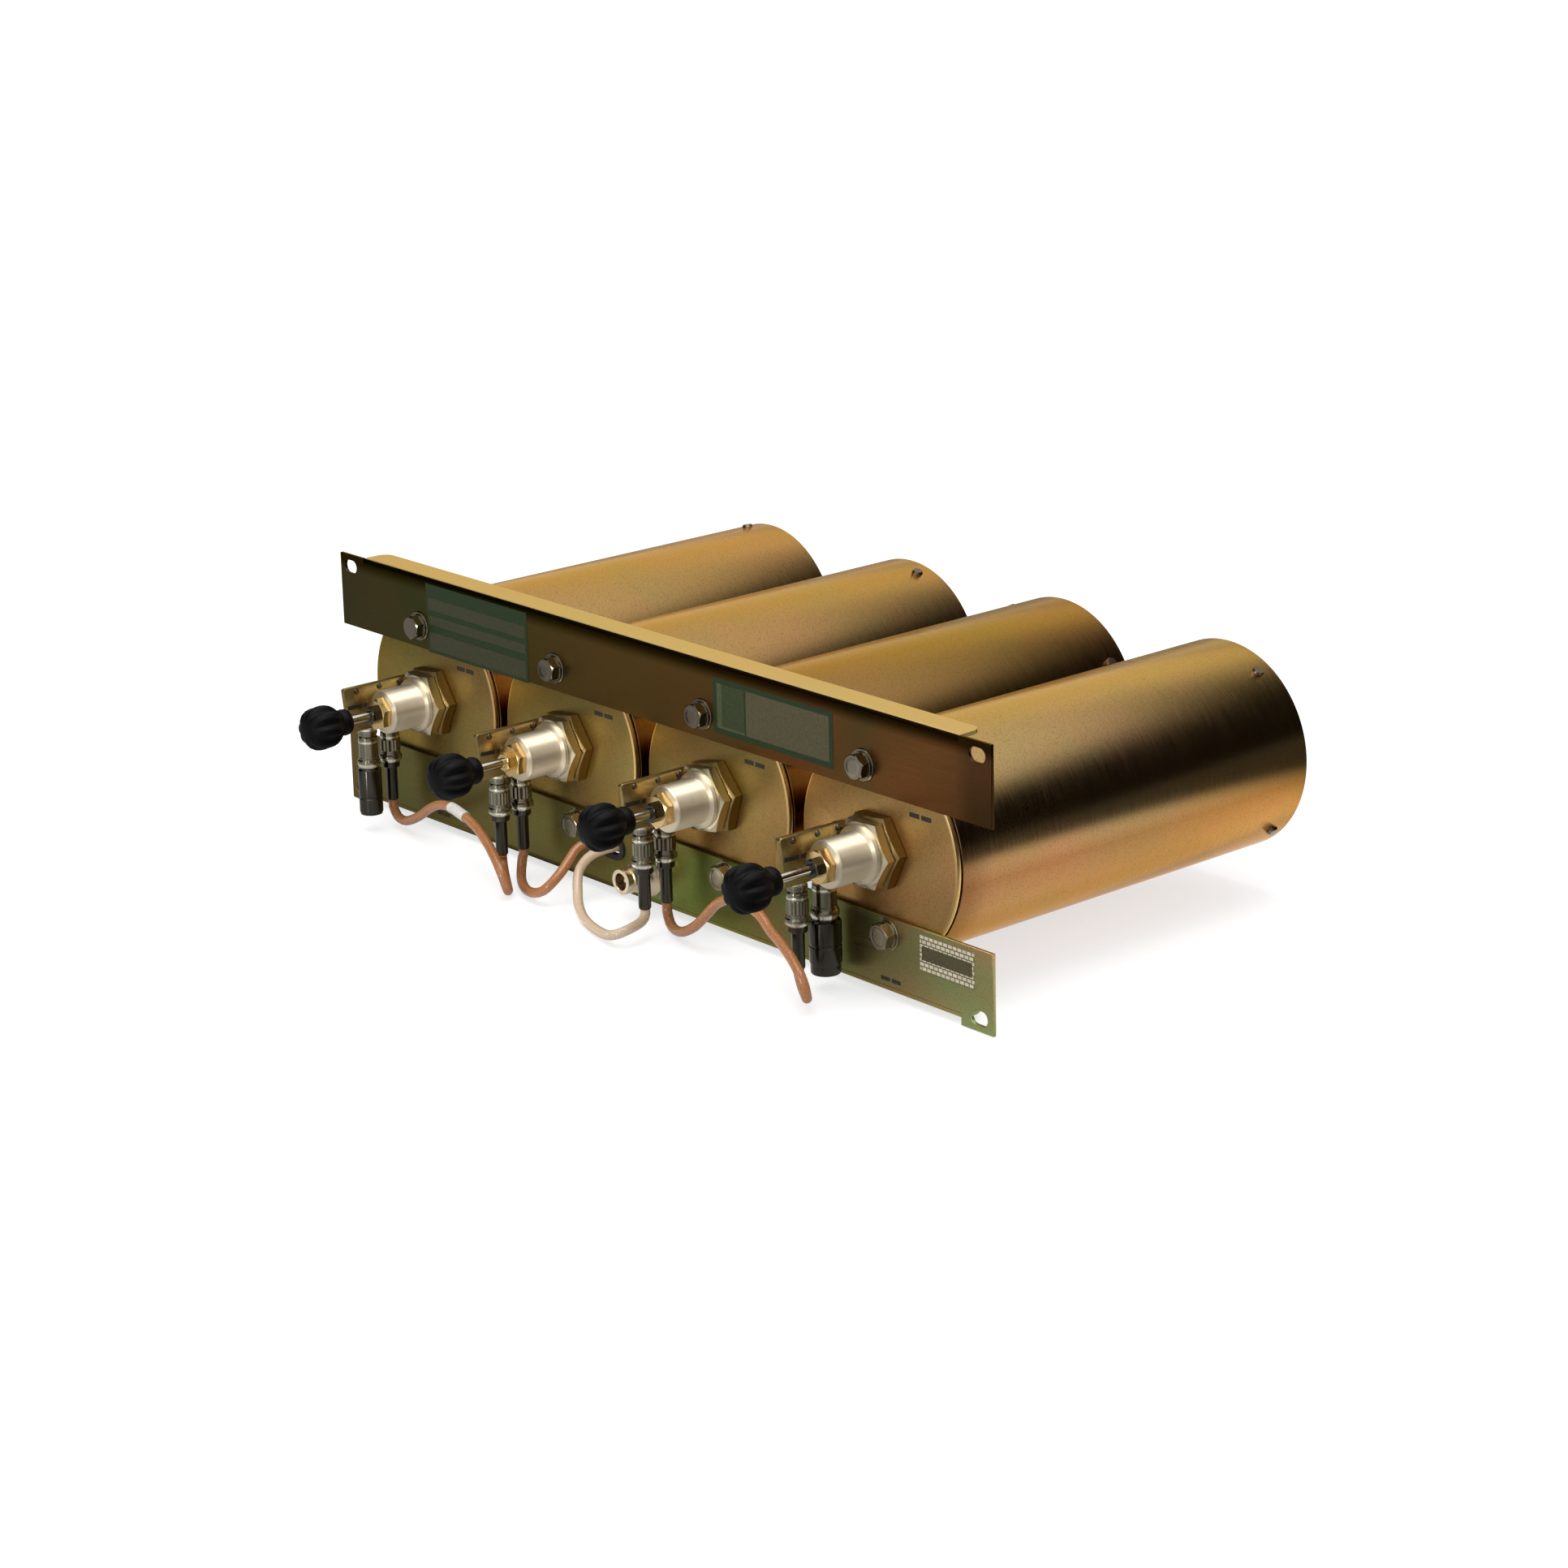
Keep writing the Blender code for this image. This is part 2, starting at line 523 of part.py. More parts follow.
cable("cable_b", [
    (-77.6, -12.0, 13.2), (-77.4, -13.0, 9.0), (-71.0, -19.0, 4.0), (-61.0, -26.0, 2.9), (-50.0, -31.5, 3.2), (-40.0, -34.4, 4.9), (-33.3, -34.4, 7.6),
    (-30.2, -31.8, 11.2), (-29.7, -26.5, 15.3), (-30.8, -20.5, 19.6), (-31.9, -14.5, 24.1), (-31.2, -9.0, 26.0), (-28.5, -3.8, 26.0), (-25.0, 0.9, 24.2),
    (-24.2, 5.5, 22.8), (-20.5, 9.6, 19.8), (-13.5, 11.0, 18.6), (-6.6, 11.0, 18.6)], first=(0, 0, -1), last=(1, 0, 0))
cable("cable_c", [
    (-6.6, 18.5, 19.8), (-11.5, 18.2, 21.6), (-15.6, 15.0, 24.2), (-18.0, 9.0, 25.6), (-18.7, 2.0, 25.4), (-20.2, -4.0, 25.0), (-23.0, -8.6, 23.6),
    (-25.6, -12.4, 20.8), (-26.9, -16.5, 16.3), (-24.5, -20.0, 12.3), (-20.3, -23.5, 8.4), (-13.7, -28.4, 4.8), (-4.6, -33.6, 3.0), (5.4, -38.4, 2.8),
    (17.3, -42.2, 2.9), (28.3, -45.0, 3.9), (35.3, -45.5, 5.7), (38.3, -42.5, 7.2), (38.0, -37.0, 7.8), (36.2, -31.0, 8.0), (34.2, -26.6, 9.0),
    (33.6, -25.4, 13.1)], first=(-1, 0, 0), last=(0, 0, 1))
cable("cable_d", [
    (33.6, -12.2, 13.2), (34.0, -12.5, 8.6), (38.2, -14.4, 4.6), (45.1, -17.0, 3.5), (55.1, -20.0, 5.9), (65.7, -21.5, 11.8), (74.0, -21.5, 19.4),
    (82.1, -22.0, 26.7), (92.2, -23.5, 31.8), (104.9, -25.5, 34.1), (120.1, -28.5, 32.8), (130.6, -31.5, 29.1), (143.7, -35.5, 26.1), (155.7, -40.0, 23.1),
    (163.9, -43.0, 19.2), (166.7, -43.0, 13.9), (164.4, -40.0, 8.3), (158.4, -35.0, 5.6), (150.8, -30.4, 6.6), (145.2, -27.5, 10.2), (144.7, -27.2, 13.2)], first=(0, 0, -1), last=(0, 0, 1))
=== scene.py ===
import math

import bmesh
import bpy
from mathutils import Matrix, Vector


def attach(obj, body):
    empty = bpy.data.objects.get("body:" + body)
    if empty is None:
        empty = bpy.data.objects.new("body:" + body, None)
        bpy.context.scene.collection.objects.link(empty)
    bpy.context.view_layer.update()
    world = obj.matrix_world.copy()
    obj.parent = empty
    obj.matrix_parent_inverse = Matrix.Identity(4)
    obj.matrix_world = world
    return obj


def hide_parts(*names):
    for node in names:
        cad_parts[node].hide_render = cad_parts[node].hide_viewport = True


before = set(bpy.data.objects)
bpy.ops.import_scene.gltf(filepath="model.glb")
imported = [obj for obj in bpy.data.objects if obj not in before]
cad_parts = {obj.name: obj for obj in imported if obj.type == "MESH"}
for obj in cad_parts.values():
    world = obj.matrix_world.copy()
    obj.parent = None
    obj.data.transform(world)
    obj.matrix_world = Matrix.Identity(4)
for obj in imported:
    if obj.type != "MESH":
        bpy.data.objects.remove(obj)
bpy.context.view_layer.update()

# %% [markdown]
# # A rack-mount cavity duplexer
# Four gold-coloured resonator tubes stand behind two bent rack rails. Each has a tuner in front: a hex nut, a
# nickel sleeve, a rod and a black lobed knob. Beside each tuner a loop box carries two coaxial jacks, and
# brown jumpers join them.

MM = 0.001
# The pieces and the camera are measured in millimetres from the front faces of the rails. The model's
# origin lies further back. Lamps, cloth and finishes are in the model's own metres.
BACK = -72.55
AXIS_Z = 68.0  # height of the tubes' axes
CENTRES = [(i - 1.5) * 111.125 for i in range(4)]


def at(x, y, z):
    """A place in millimetres as a point of the model, in metres."""
    return Vector((x, y + BACK, z)) * MM


# %% [markdown]
# ## The camera
# The camera was found from the photograph by fitting known rack sizes, so it has a long lens, a small roll
# and a small shift. Matching the viewpoint first means that every later difference is a difference in the
# model.

# %% Camera
scene = bpy.context.scene
PICTURE = 1932  # pixels along each side of the photograph
FILM_WIDTH = 36.0
eye = Vector((1369.43, -1084.92 + BACK, 613.98)) * MM
roll = math.radians(-1.33683916)
ahead = Vector((-0.730192, 0.630301, -0.263706)).normalized()
right = ahead.cross(Vector((0, 0, 1))).normalized()
up = right.cross(ahead)
across = right * math.cos(roll) + up * math.sin(roll)
upward = up * math.cos(roll) - right * math.sin(roll)


def put(name, data):
    """A new object in the scene."""
    made = bpy.data.objects.new(name, data)
    scene.collection.objects.link(made)
    return made


lens = bpy.data.cameras.new("long_lens")
lens.sensor_fit = "HORIZONTAL"
lens.sensor_width = FILM_WIDTH
lens.lens = 4741.97 / PICTURE * FILM_WIDTH
lens.shift_x = -(973.278 - PICTURE / 2) / PICTURE
lens.shift_y = (772.330 - PICTURE / 2) / PICTURE
lens.clip_start, lens.clip_end = 0.01, 50.0
camera = put("camera", lens)
camera.matrix_world = Matrix.Translation(eye) @ Matrix((across, upward, -ahead)).transposed().to_4x4()
scene.camera = camera
print("lens", round(lens.lens, 2), "mm")

# %% [markdown]
# ## The room
# A product photograph has a plain white background, but white that also lights the metal from all sides would
# wash it out. So the room has two faces: camera, mirrors and glass see plain white, and everything else is
# lit by a dimmer, slightly blue sky. The Light Path node tells the two kinds of ray apart, and the floor uses
# the same switch.

# %% Room
scene.view_settings.view_transform = "Standard"
world = bpy.data.worlds.new("soft_room")
scene.world = world
world.cycles.sampling_method = "NONE"


def empty_tree(owner):
    """The node tree of a world or a material, with nothing in it."""
    owner.use_nodes = True
    owner.node_tree.nodes.clear()
    return owner.node_tree


def node(tree, kind, inputs=None, **settings):
    """One shader node with its settings. An input is given as a plain value or as another node's output."""
    made = tree.nodes.new(kind)
    for key, value in settings.items():
        setattr(made, key, value)
    for key, value in (inputs or {}).items():
        if hasattr(value, "is_output"):
            tree.links.new(value, made.inputs[key])
        else:
            made.inputs[key].default_value = value
    return made


def math_node(tree, what, a, b):
    return node(tree, "ShaderNodeMath", {0: a, 1: b}, operation=what).outputs[0]


def on_show(tree, plain, shown):
    """Shows one shader to the camera and to mirrors and glass, and lights everything else with the other."""
    ray = node(tree, "ShaderNodeLightPath").outputs
    either = math_node(tree, "MAXIMUM", ray["Is Camera Ray"], ray["Is Glossy Ray"])
    any_of = math_node(tree, "MAXIMUM", either, ray["Is Transmission Ray"])
    return node(tree, "ShaderNodeMixShader", {0: any_of, 1: plain.outputs[0], 2: shown.outputs[0]}).outputs[0]


tree = empty_tree(world)
sky = node(tree, "ShaderNodeBackground", {"Color": (0.92, 0.96, 1.0, 1), "Strength": 0.75})
white = node(tree, "ShaderNodeBackground", {"Color": (1, 1, 1, 1), "Strength": 1.0})
node(tree, "ShaderNodeOutputWorld", {"Surface": on_show(tree, sky, white)})
print("room", world.name)

# %% [markdown]
# ## The lamps
# The photograph has one large soft light overhead: the tops of the tubes are bright and the shadows have no
# edge. A weaker one in front lifts the shadows. A narrow strip at the right draws the bright lines along the
# turned parts.

# %% Lamps
def lamp(name, place, aim, size, power):
    """A rectangular lamp of size (across, up) in metres, at a place and turned towards its aim."""
    data = bpy.data.lights.new(name, "AREA")
    data.shape = "RECTANGLE"
    data.size, data.size_y = size
    data.energy = power
    made = put(name, data)
    made.location = place
    made.rotation_euler = (Vector(aim) - Vector(place)).to_track_quat("-Z", "Y").to_euler()
    return made


lamp("overhead_softbox", (0.15, -0.2, 1.5), (0, 0.05, 0.05), (1.4, 1.2), 16)
fill = lamp("front_fill", (-0.9, -1.5, 0.7), (0, 0, 0.05), (0.9, 0.7), 5)
# The fill only lifts the shadows: as a mirror image it would put a bright line on the bend of the upper rail.
fill.visible_glossy = False
strip = lamp("streak_strip", (0.35, -1.6, 0.35), (0, -0.08, 0.05), (0.12, 0.5), 5)
# The strip is only for mirrors: turned metal draws it out into one bright line along each plug and sleeve.
strip.visible_diffuse = False

# %% [markdown]
# ## The floor
# The object lies on white paper that has no visible edge. The floor is one large square just below it. The
# camera gets a darker sheet that glows, so that it ends up as white as the background while its shadows stay
# light.

# %% Floor
def to_mesh(name, made):
    """Turns a bmesh into a mesh and frees it."""
    mesh = bpy.data.meshes.new(name)
    made.to_mesh(mesh)
    made.free()
    return mesh


def grid_mesh(name, size, z):
    """A mesh of one square that reaches size metres each way, at height z."""
    made = bmesh.new()
    bmesh.ops.create_grid(made, x_segments=1, y_segments=1, size=size)
    bmesh.ops.translate(made, verts=made.verts, vec=(0, 0, z))
    return to_mesh(name, made)


floor = put("floor", grid_mesh("floor", 12.0, -0.0005))
paper = bpy.data.materials.new("white_paper")
tree = empty_tree(paper)
matt = node(tree, "ShaderNodeBsdfDiffuse", {"Color": (0.80, 0.80, 0.80, 1)})
grey_matt = node(tree, "ShaderNodeBsdfDiffuse", {"Color": (0.50, 0.50, 0.50, 1)})
glow = node(tree, "ShaderNodeEmission", {"Color": (1, 1, 1, 1), "Strength": 0.66})
both = node(tree, "ShaderNodeAddShader", {0: grey_matt.outputs[0], 1: glow.outputs[0]})
node(tree, "ShaderNodeOutputMaterial", {"Surface": on_show(tree, matt, both)})
floor.data.materials.append(paper)
print("floor", round(floor.dimensions.x), "m wide")

# %% [markdown]
# ## Something dark to mirror
# Polished metal in a white room has no form: it looks like paper. Photographers hang grey and black cloth
# round the table, and its mirror image draws the dark bands along the tubes. Here the cloth is a half dome,
# and a sheet on the table with a pale pool left free round the object. Only mirror rays meet them.

# %% Tools for masks
def remap(tree, value, low, high, to_low=0.0, to_high=1.0, kind="LINEAR"):
    """Takes a value from one range to another, and never past its ends."""
    sizes = {"Value": value, "From Min": low, "From Max": high, "To Min": to_low, "To Max": to_high}
    return node(tree, "ShaderNodeMapRange", sizes, interpolation_type=kind).outputs[0]


def eased(tree, *given):
    """The same with a soft start and a soft end."""
    return remap(tree, *given, kind="SMOOTHSTEP")


def vector_math(tree, what, a, b=(0, 0, 0), out="Vector"):
    return node(tree, "ShaderNodeVectorMath", {0: a, 1: b}, operation=what).outputs[out]


def ramp(tree, factor, stops):
    """A colour ramp from (position, colour) pairs. A plain number stands for a grey."""
    made = node(tree, "ShaderNodeValToRGB", {"Fac": factor})
    elements = made.color_ramp.elements
    elements[0].position, elements[1].position = stops[0][0], stops[-1][0]
    for place, _ in stops[1:-1]:
        elements.new(place)
    for element, (_, tone) in zip(elements, stops):
        element.color = (*tone, 1.0) if isinstance(tone, tuple) else (tone, tone, tone, 1.0)
    return made.outputs["Color"]


def facing(tree, place, x, y):
    """How far the flat direction of a point agrees with (x, y), from -1 to 1."""
    unit = vector_math(tree, "NORMALIZE", vector_math(tree, "MULTIPLY", place, (1, 1, 0)))
    return vector_math(tree, "DOT_PRODUCT", unit, Vector((x, y, 0)).normalized(), "Value")


def oval(tree, place, centre, radii):
    """Distance from a centre, as 1 on an oval with these radii."""
    shifted = vector_math(tree, "ADD", place, (-centre[0], -centre[1], 0))
    scaled = vector_math(tree, "MULTIPLY", shifted, (1 / radii[0], 1 / radii[1], 0))
    return vector_math(tree, "LENGTH", scaled, out="Value")


BACK_RIGHT = (0.7, 0.72)  # the flat direction in which the cloth is darkest
print("darkest towards", round(math.degrees(math.atan2(BACK_RIGHT[1], BACK_RIGHT[0]))), "degrees from X")


# %% Cloth
def cloth(name, mesh, mask):
    """A piece of the studio that only shiny surfaces see. Its mask goes from 0, air, to 1, dark cloth."""
    piece = put(name, mesh)
    piece.visible_camera = piece.visible_diffuse = piece.visible_transmission = piece.visible_shadow = False
    made = bpy.data.materials.new(name)
    tree = empty_tree(made)
    air = node(tree, "ShaderNodeBsdfTransparent").outputs[0]
    dark = node(tree, "ShaderNodeEmission", {"Color": (0.006, 0.004, 0.004, 1)}).outputs[0]
    place = node(tree, "ShaderNodeTexCoord").outputs["Object"]
    mixed = node(tree, "ShaderNodeMixShader", {0: mask(tree, place), 1: air, 2: dark})
    node(tree, "ShaderNodeOutputMaterial", {"Surface": mixed.outputs[0]})
    mesh.materials.append(made)


def dome_mask(tree, place):
    """Dark low down at the back right, grey elsewhere, and a black flag at the left for the rail's bend."""
    rise = node(tree, "ShaderNodeSeparateXYZ", {"Vector": vector_math(tree, "NORMALIZE", place)}).outputs["Z"]
    low_dark = [(0.0, 1.0), (0.42, 1.0), (0.52, 0.82), (0.60, 0.30), (0.70, 0.05), (1.0, 0.10)]
    back_right = ramp(tree, rise, low_dark)
    others = ramp(tree, rise, [(0.0, 0.38), (0.50, 0.36), (1.0, 0.42)])
    right_part = eased(tree, facing(tree, place, *BACK_RIGHT), 0.25, 0.75)
    left_part = eased(tree, facing(tree, place, -0.76, 0.65), 0.3, 0.9, 1.0, 0.25)
    flag_side = eased(tree, facing(tree, place, -0.92, -0.40), 0.72, 0.90)
    flag = math_node(tree, "MULTIPLY", flag_side, eased(tree, rise, 0.85, 0.70, 0.0, 0.97))
    pale = math_node(tree, "MAXIMUM", math_node(tree, "MULTIPLY", others, left_part), flag)
    return node(tree, "ShaderNodeMix", {"Factor": right_part, "A": pale, "B": back_right}).outputs["Result"]


def table_mask(tree, place):
    """Dark away from a pale pool with a lane to the front, and two ovals more for the front and the shade."""
    far = oval(tree, place, (0.12, 0.12), (0.60, 0.38))
    dark = eased(tree, facing(tree, place, *BACK_RIGHT), -0.4, 0.6, 0.60, 0.95)
    lane = eased(tree, facing(tree, place, -0.19, -0.98), 0.975, 0.993, 1.0, 0.15)
    pool = math_node(tree, "MULTIPLY", math_node(tree, "MULTIPLY", eased(tree, far, 0.32, 0.72), dark), lane)
    # A strip in front at the left, for the front plates and the upper rail, and the shade under the tubes.
    front = eased(tree, oval(tree, place, (-0.36, -0.28), (0.30, 0.17)), 1.30, 0.60, 0.0, 0.62)
    under = eased(tree, oval(tree, place, (-0.08, 0.01), (0.20, 0.10)), 1.15, 0.80, 0.0, 0.95)
    return math_node(tree, "MAXIMUM", math_node(tree, "MAXIMUM", pool, front), under)


made = bmesh.new()
bmesh.ops.create_uvsphere(made, u_segments=48, v_segments=24, radius=6.0)
everything = made.verts[:] + made.edges[:] + made.faces[:]
bmesh.ops.bisect_plane(made, geom=everything, plane_co=(0, 0, 0), plane_no=(0, 0, -1), clear_outer=True)
cloth("grey_dome", to_mesh("grey_dome", made), dome_mask)
cloth("grey_sheet", grid_mesh("grey_sheet", 6.0, -0.0002), table_mask)

# %% [markdown]
# ## Shared surface effects
# Yellow chromate is a thin, slightly iridescent film: under the same light it drifts between gold, pink and
# green. That drift, fine brushing and small specks are used by many finishes, so each is a node group with
# its own inputs.

# %% Node groups
def group(name, inputs, outputs):
    """An empty shader node group and its two ends."""
    made = bpy.data.node_groups.new(name, "ShaderNodeTree")
    for kind, label, value in inputs:
        socket = made.interface.new_socket(label, in_out="INPUT", socket_type="NodeSocket" + kind)
        if value is not None:
            socket.default_value = value
    for kind, label in outputs:
        made.interface.new_socket(label, in_out="OUTPUT", socket_type="NodeSocket" + kind)
    return made, made.nodes.new("NodeGroupInput").outputs, made.nodes.new("NodeGroupOutput").inputs


def noise(tree, place, scale, detail, **more):
    """Soft random clouds, from 0 to 1."""
    given = {"Vector": place, "Scale": scale, "Detail": detail, **more}
    return node(tree, "ShaderNodeTexNoise", given).outputs["Fac"]


def blend(tree, factor, a, b):
    """Goes from colour a to colour b."""
    return node(tree, "ShaderNodeMix", {"Factor": factor, "A": a, "B": b}, data_type="RGBA").outputs["Result"]


# Film: drifts between three colours in soft clouds, and darkens in small specks.
film, start, end = group(
    "chromate_film",
    [
        ("Vector", "Vector", None), ("Color", "Gold", (0.6, 0.45, 0.2, 1)),
        ("Color", "Rose", (0.6, 0.4, 0.3, 1)), ("Color", "Green", (0.4, 0.45, 0.2, 1)),
        ("Float", "Cloud Size", 12.0), ("Float", "Drift", 0.5), ("Float", "Specks", 0.15),
    ],
    [("Color", "Color")],
)
place, size, drift = start["Vector"], start["Cloud Size"], start["Drift"]
cloud = noise(film, place, size, 3.0, Roughness=0.6)
other_cloud = noise(film, place, math_node(film, "MULTIPLY", size, 1.7), 2.0, Distortion=0.4)
rose_part = math_node(film, "MULTIPLY", remap(film, cloud, 0.45, 0.72), drift)
green_part = math_node(film, "MULTIPLY", remap(film, other_cloud, 0.48, 0.75), drift)
hue = blend(film, green_part, blend(film, rose_part, start["Gold"], start["Rose"]), start["Green"])
speck = remap(film, noise(film, place, 1500.0, 1.0), 0.32, 0.46, 1.0, 0.0)
darker = blend(film, math_node(film, "MULTIPLY", speck, start["Specks"]), hue, (0.05, 0.035, 0.015, 1))
film.links.new(darker, end["Color"])

# Brushing: long fine lines, made by stretching noise along the direction of the strokes.
brush, start, end = group(
    "brushed_lines",
    [("Vector", "Vector", None), ("Vector", "Stretch", (1, 1, 1)), ("Float", "Low", 0.3),
     ("Float", "High", 0.5)],
    [("Float", "Height"), ("Float", "Roughness")],
)
stretched = vector_math(brush, "MULTIPLY", start["Vector"], start["Stretch"])
lines = noise(brush, stretched, 1.0, 4.0, Roughness=0.65)
brush.links.new(lines, end["Height"])
brush.links.new(remap(brush, lines, 0.3, 0.7, start["Low"], start["High"]), end["Roughness"])
print("groups", [g.name for g in bpy.data.node_groups])

# %% [markdown]
# ## Chromated steel
# Tubes, plates and rails came out of the same yellow chromate bath, each with its own tone. Where two of these
# tones meet on one sheet, at the upper rail's face and flange, part of the difference is painted light. One
# function makes them all: the film gives the colour, the brushing gives the gloss, and its fine bumps blur the
# mirror image along it.

# %% Chromated steel
def finish(name, metallic=1.0, **plain):
    """A new material: its tree, its Principled shader and the object coordinates."""
    made = bpy.data.materials.new(name)
    made.use_nodes = True
    tree = made.node_tree
    shader = tree.nodes["Principled BSDF"]
    shader.inputs["Metallic"].default_value = metallic
    for key, value in plain.items():
        shader.inputs[key.replace("_", " ")].default_value = value
    return made, tree, shader, node(tree, "ShaderNodeTexCoord").outputs["Object"]


def feed(shader, **outputs):
    """Links outputs to the inputs of a shader that have these names."""
    for key, output in outputs.items():
        shader.id_data.links.new(output, shader.inputs[key.replace("_", " ")])


def bumps(tree, height, strength, distance=0.0002):
    given = {"Height": height, "Strength": strength, "Distance": distance}
    return node(tree, "ShaderNodeBump", given).outputs["Normal"]


def brushed(shader, place, stretch, low, high, bump, distance):
    """Gives a shader the brushed lines, in its gloss and as fine bumps."""
    tree = shader.id_data
    given = {"Vector": place, "Stretch": stretch, "Low": low, "High": high}
    strokes = node(tree, "ShaderNodeGroup", given, node_tree=brush).outputs
    feed(shader, Roughness=strokes["Roughness"], Normal=bumps(tree, strokes["Height"], bump, distance))


def chromate(name, gold, rose, green, stretch, low, high, cloud, drift, specks, bump):
    """Brushed metal under a yellow chromate film."""
    made, tree, shader, place = finish(name, Specular_Tint=(1.0, 0.76, 0.42, 1))
    given = {"Vector": place, "Gold": (*gold, 1), "Rose": (*rose, 1), "Green": (*green, 1),
             "Cloud Size": cloud, "Drift": drift, "Specks": specks}
    feed(shader, Base_Color=node(tree, "ShaderNodeGroup", given, node_tree=film).outputs["Color"])
    brushed(shader, place, stretch, low, high, bump, 0.0002)
    return made


# How much finer the noise is along X, Y and Z: the strokes run where it is coarse.
ROUND_Y, ALONG_RAIL, ALONG_FLANGE, EVEN = (60, 1100, 60), (40, 40, 1500), (40, 800, 40), (300, 300, 300)
tube_gold = chromate("tube_gold", (0.58, 0.345, 0.105), (0.66, 0.325, 0.135), (0.50, 0.355, 0.11), ROUND_Y,
                     0.18, 0.27, 9.0, 0.8, 0.35, 0.07)
plate_gold = chromate("plate_gold", (0.52, 0.32, 0.095), (0.58, 0.28, 0.12), (0.42, 0.33, 0.10), EVEN,
                      0.32, 0.44, 14.0, 0.6, 0.30, 0.08)
rim_gold = chromate("rim_gold", (0.70, 0.47, 0.18), (0.70, 0.42, 0.20), (0.58, 0.46, 0.18), EVEN,
                    0.28, 0.40, 14.0, 0.4, 0.10, 0.08)
# The upper rail's face: partly the film's own olive brown, partly a painted dark reflection of the room in
# front.
rail_dark = chromate("rail_olive_brown", (0.125, 0.075, 0.023), (0.20, 0.078, 0.027), (0.075, 0.072, 0.024),
                     ALONG_RAIL, 0.30, 0.44, 7.0, 0.9, 0.30, 0.10)
rail_green = chromate("rail_olive_green", (0.30, 0.285, 0.10), (0.38, 0.22, 0.095), (0.20, 0.31, 0.11),
                      ALONG_RAIL, 0.32, 0.46, 7.0, 1.0, 0.30, 0.10)
# The upper rail's flange is the same sheet as its face: its much lighter gold is partly painted light from
# above.
flange_gold = chromate("flange_gold", (0.64, 0.48, 0.20), (0.62, 0.41, 0.18), (0.56, 0.47, 0.19), ALONG_FLANGE,
                       0.34, 0.46, 8.0, 0.5, 0.15, 0.10)
box_olive = chromate("box_olive", (0.34, 0.25, 0.10), (0.36, 0.22, 0.10), (0.28, 0.24, 0.095), EVEN,
                     0.34, 0.46, 20.0, 0.5, 0.25, 0.08)
nut_gold = chromate("nut_gold", (0.30, 0.215, 0.085), (0.32, 0.195, 0.085), (0.25, 0.20, 0.08),
                    (500, 500, 500), 0.28, 0.40, 40.0, 0.5, 0.15, 0.08)
print("materials", len(bpy.data.materials))

# %% [markdown]
# ## Colour runs
# The parts are not evenly coloured: one tube is darker, the plates are dark under the upper rail, and the
# lower rail pales towards its right end. Some of these runs are painted shade and light, as said at each one.
# So the film's main colour runs along X, times a second run along Y and a third along Z, and the rose and the
# green follow it. A ramp's colours end at 1, so Y and Z are written as half their value.

# %% Colour runs
RANGES = (("X", -0.24, 0.24), ("Y", -0.067, 0.157), ("Z", 0.0, 0.1326))
SAME = ((0.0, 0.5), (1.0, 0.5))


def toned(material, x_stops, y_stops=SAME, z_stops=SAME):
    """Drives a chromated material's colours by three ramps, over the ranges above."""
    tree = material.node_tree
    given = {"Vector": node(tree, "ShaderNodeTexCoord").outputs["Object"]}
    place = node(tree, "ShaderNodeSeparateXYZ", given).outputs
    tone = (4.0, 4.0, 4.0)  # makes up for the two halves
    for (axis, first, last), stops in zip(RANGES, (x_stops, y_stops, z_stops)):
        tone = vector_math(tree, "MULTIPLY", ramp(tree, remap(tree, place[axis], first, last), stops), tone)
    skin = next(n for n in tree.nodes if n.type == "GROUP" and n.node_tree == film).inputs
    gold = skin["Gold"].default_value
    for label in ("Rose", "Green"):
        ratio = [side / main for side, main in zip(skin[label].default_value[:3], gold[:3])]
        tree.links.new(vector_math(tree, "MULTIPLY", tone, ratio), skin[label])
    tree.links.new(tone, skin["Gold"])


# The plates are darker under the upper rail, a painted shade, and lighter near the table, a painted light.
toned(
    plate_gold,
    [
        (0.0, (0.35, 0.265, 0.085)), (0.70, (0.40, 0.255, 0.080)), (0.80, (0.52, 0.31, 0.110)),
        (1.0, (0.54, 0.30, 0.11)),
    ],
    z_stops=[(0.0, (0.66, 0.64, 0.62)), (0.22, (0.66, 0.64, 0.62)), (0.42, 0.5), (0.60, 0.5),
             (0.74, (0.33, 0.34, 0.34)), (1.0, (0.30, 0.31, 0.32))],
)
# The third tube is the darkest. All of them are darker just behind their front plates, a painted shade in the
# gaps between them, darker in a band a little below their axes, and rosy towards the table.
toned(
    tube_gold,
    [
        (0.0, (0.55, 0.335, 0.12)), (0.26, (0.50, 0.30, 0.11)), (0.47, (0.50, 0.30, 0.11)),
        (0.53, (0.345, 0.20, 0.066)), (0.70, (0.345, 0.20, 0.066)), (0.77, (0.52, 0.345, 0.140)),
        (1.0, (0.52, 0.345, 0.140)),
    ],
    y_stops=[(0.0, (0.34, 0.32, 0.31)), (0.03, (0.38, 0.36, 0.34)), (0.08, 0.5), (1.0, 0.5)],
    z_stops=[(0.0, (0.50, 0.39, 0.50)), (0.20, (0.50, 0.39, 0.50)), (0.34, (0.47, 0.38, 0.42)),
             (0.45, (0.34, 0.235, 0.22)), (0.60, 0.5), (1.0, 0.5)],
)
